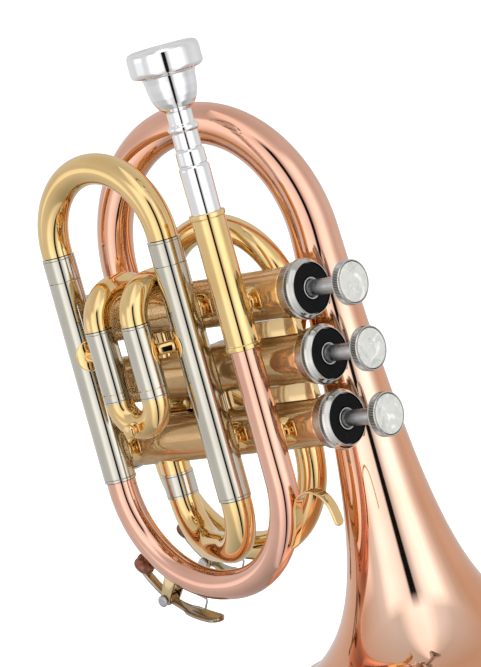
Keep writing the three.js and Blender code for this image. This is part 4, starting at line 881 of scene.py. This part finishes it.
def cork(name):
    """Cork: cells from a Voronoi pattern lift a brown noise that runs from dark pores to pale grain."""
    made, tree, shader, place = blank(name)
    cells = wire(tree, "ShaderNodeTexVoronoi", {"Vector": place, "Scale": 1500.0}).outputs["Distance"]
    brown = [(0.3, (0.10, 0.03, 0.02)), (0.55, (0.22, 0.075, 0.045)), (0.75, (0.32, 0.13, 0.08))]
    fed(shader, {"Base Color": ramp(tree, noise(tree, place, 700.0, 4.0), brown), "Roughness": 0.85,
                 "Normal": lifted(tree, cells, 0.5, 0.0002)})
    return made


cork_bark = cork("cork_bark")
nipple = [(0, -1.2), (3.2, -1.2), (3.0, -0.5), (2.6, 0.1), (2.6, 1.3), (1.5, 1.4), (1.5, 0.3), (0, 0.3)]
screw = [(0, -4.0), (1.0, -4.0), (1.0, 4.2), (2.4, 4.25), (2.4, 5.0), (1.8, 5.4), (0, 5.4)]
cup = [(0, 0), (4.4, -0.1), (4.4, 0.5), (3.6, 1.1), (1.5, 1.5), (0, 1.6)]
plug = [(0, 0), (3.8, 0), (4.2, 0.5), (4.2, 3.4), (0, 3.4)]
barrel = [(0, -2.2), (2.6, -2.2), (2.6, 2.2), (0, 2.2)]
ear_rise, ear_wide = [-2.7, -0.6, 4.0, 7.0, 9.2, 10.3, 10.6], [2.9, 2.9, 2.5, 2.3, 2.1, 1.2, 0.0]
ear_inside, ear_outside, ear_bevel = 2.8, 3.9, 0.2
saddle_radius, saddle_rise, lever_thickness = 4.3, 0.9, 2.0
key_wire_radius, key_wire_end, wire_foot, wire_tip = 0.45, 0.3, 1.4, 5.4


def radial(degrees):
    """The direction at an angle round a bend, from forward, minus being down."""
    angle = np.radians(np.asarray(degrees, float))
    return np.stack([np.cos(angle), 0 * angle, np.sin(angle)], -1)


cork_way, pivot_way, pivot_height, cork_foot, cup_height = radial(-53.0), radial(-35.8), 8.7, 1.7, 5.4


def lever_skin(centre, knots):
    """A lever laid round a bend: its angle, reach and half width run smoothly through the knots, and its oblong
    section, |y/w|^4 + |z/h|^2.5 = 1, is drawn in to nothing at both ends."""
    knots = np.asarray(knots, float)
    share = np.linspace(0, len(knots) - 1, 80)
    degrees, reach, half = (np.interp(share, np.arange(len(knots)), knots[:, k]) for k in range(3))
    reach, half = (np.convolve(np.pad(value, 3, mode="edge"), np.ones(7) / 7, mode="valid") for value in (reach, half))
    half[[0, -1]] = 0
    way = radial(degrees)
    y, z = oblong(2, 4, lever_thickness, 2.5, 32)
    thick = np.ones((len(share), 1))
    thick[[0, -1]] = 0
    line = centre + way * reach[:, None]
    return line[:, None] + (half[:, None] * y)[..., None] * LEFT + (thick * z)[..., None] * way[:, None]


def wire_skin(line, ways, radii, side, around):
    """A wire's rings, with each end drawn in to a point."""
    skin = rings(line, ways, radii, side, around)
    ends = line[[0, -1], None] + 0 * skin[:1]
    return np.concatenate([ends[:1], skin, ends[1:]])


def water_key(label, centre, bend, tube_radius, seat_body, key_body, seat_node):
    """Nipple, ears and screw on the tube; cup, cork, barrel, arm and paddle on the lever. An ear's outline is
    rise +- wide across, in two flat faces. The wire stands where the spring was, with no body of its own."""
    skin, lever_node = bend + tube_radius + gap, f"water_key_lever_{label}"
    pivot = centre + pivot_way * (skin + pivot_height)
    for part, profile, place, way, around, finish, body, node in (
        ("nipple", eased(nipple, 0.3, 4), centre + cork_way * skin, cork_way, 48, yellow_brass, seat_body, seat_node),
        ("screw", eased(screw, 0.2, 3), pivot, -LEFT, 40, stem_steel, seat_body, f"water_key_screw_{label}"),
        ("cup", eased(cup, 0.3, 4), centre + cork_way * (skin + cup_height), cork_way, 48, shade_painted_nickel, key_body,
         lever_node),
        ("cork", eased(plug, 0.25, 3), centre + cork_way * (skin + cork_foot), cork_way, 48, cork_bark, key_body,
         f"water_key_cork_{label}"),
        ("barrel", eased(barrel, 0.4, 4), pivot, LEFT, 40, shade_painted_nickel, key_body, lever_node),
    ):
        lathed(f"{label}_{part}", profile, place, way, finish, body, node, around=around)
    t, knots_at = np.linspace(0, 1, 40), np.linspace(0, 1, len(ear_rise))
    sideways = np.cross(LEFT, pivot_way)
    front = centre + pivot_way * (skin + np.interp(t, knots_at, ear_rise))[:, None]
    across = sideways * np.interp(t, knots_at, ear_wide)[:, None]
    outline = np.concatenate([front + across, (front - across)[::-1]])
    middle = outline.mean(0)
    for side_name, side in (("left", LEFT), ("right", -LEFT)):
        inner, outer = side * ear_inside, side * ear_outside
        layers = np.stack([middle + 0 * outline + inner, outline + inner, outline + outer - side * ear_bevel,
                           middle + (outline - middle) * 0.95 + outer, middle + 0 * outline + outer])
        fitted(surface(f"{label}_ear_{side_name}", layers, ear_brass), seat_body, seat_node)
    saddle = flange(centre + pivot_way * bend, pivot_way, sideways, tube_radius + gap, saddle_radius,
                    saddle_rise)
    fitted(surface(f"{label}_saddle", saddle, ear_brass), seat_body, seat_node)
    corners = centre + radial([-29.0, -15.6, -17.2, -24.0]) * (skin + np.array([0.45, 1.0, 5.8, 6.6]))[:, None]
    line, ways = centre_line(corners, [1.0, 1.0], step=12)
    wire_radii = np.full(len(line), key_wire_radius)
    wire_radii[[0, -1]] = key_wire_end
    key_wire = surface(f"{label}_wire", wire_skin(line, ways, wire_radii, LEFT, 16), stem_steel)
    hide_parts(f"water_key_spring_{label}")
    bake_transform(key_wire)
    knots = [(-53.5, 6.8, 1.4), (-50.0, 7.1, 2.2), (-44.0, 7.7, 2.2), (-35.8, 8.7, 2.2), (-29.5, 8.6, 2.2),
             (-26.0, 8.5, 2.9), (-24.0, 8.5, 4.2), (-18.0, 8.5, 4.5), (-12.0, 8.5, 4.4), (-10.2, 8.5, 3.5),
             (-9.0, 8.5, 1.8)]
    lever = lever_skin(centre, np.array(knots) + [0, skin, 0])
    fitted(surface(f"{label}_lever", lever, shade_painted_nickel, crease=60), key_body, lever_node)


water_key("front", (front_reach - low_bend, lead_side, low_sleeve_height + low_bend), low_bend, bend_radius,
          "horn", "front_water_key", "leadpipe")
third_bend = (third_high - third_low) / 2
water_key("third", third_crown - third_bend * FORWARD, third_bend, third_crook, "third_slide", "third_water_key",
          "third_slide_crook")

# ---- Pistons and springs ----
# Nickel silver pistons with their air holes slide inside the casings, each on a coil spring of steel wire that it
# presses flat. The pistons stay as they are in the frame, with their own metal.
spring_foot, spring_top, piston_travel = -56.2, -36.9, 16.2
coil_radius, coil_wire, coil_turns = 5.45, 0.5, 5
spring_length = spring_top - spring_foot
t = np.linspace(0, 1, 180)
turns = 2 * math.pi * coil_turns * t
coil_rise = coil_wire + t * (spring_length - 2 * coil_wire)
coil = np.stack([coil_radius * np.cos(turns), coil_radius * np.sin(turns), spring_foot + coil_rise], -1)
for number, axis in valves.items():
    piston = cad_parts[f"piston_{number}"].data.materials
    piston.clear()
    piston.append(nickel_silver)
    places = coil + axis
    skin = wire_skin(places, unit(np.gradient(places, axis=0)), np.full(len(t), coil_wire), UP, 12)
    made = surface(f"valve_coil_{number}", skin, stem_steel)
    fitted(made, "horn", f"valve_spring_{number}")
    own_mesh(made)
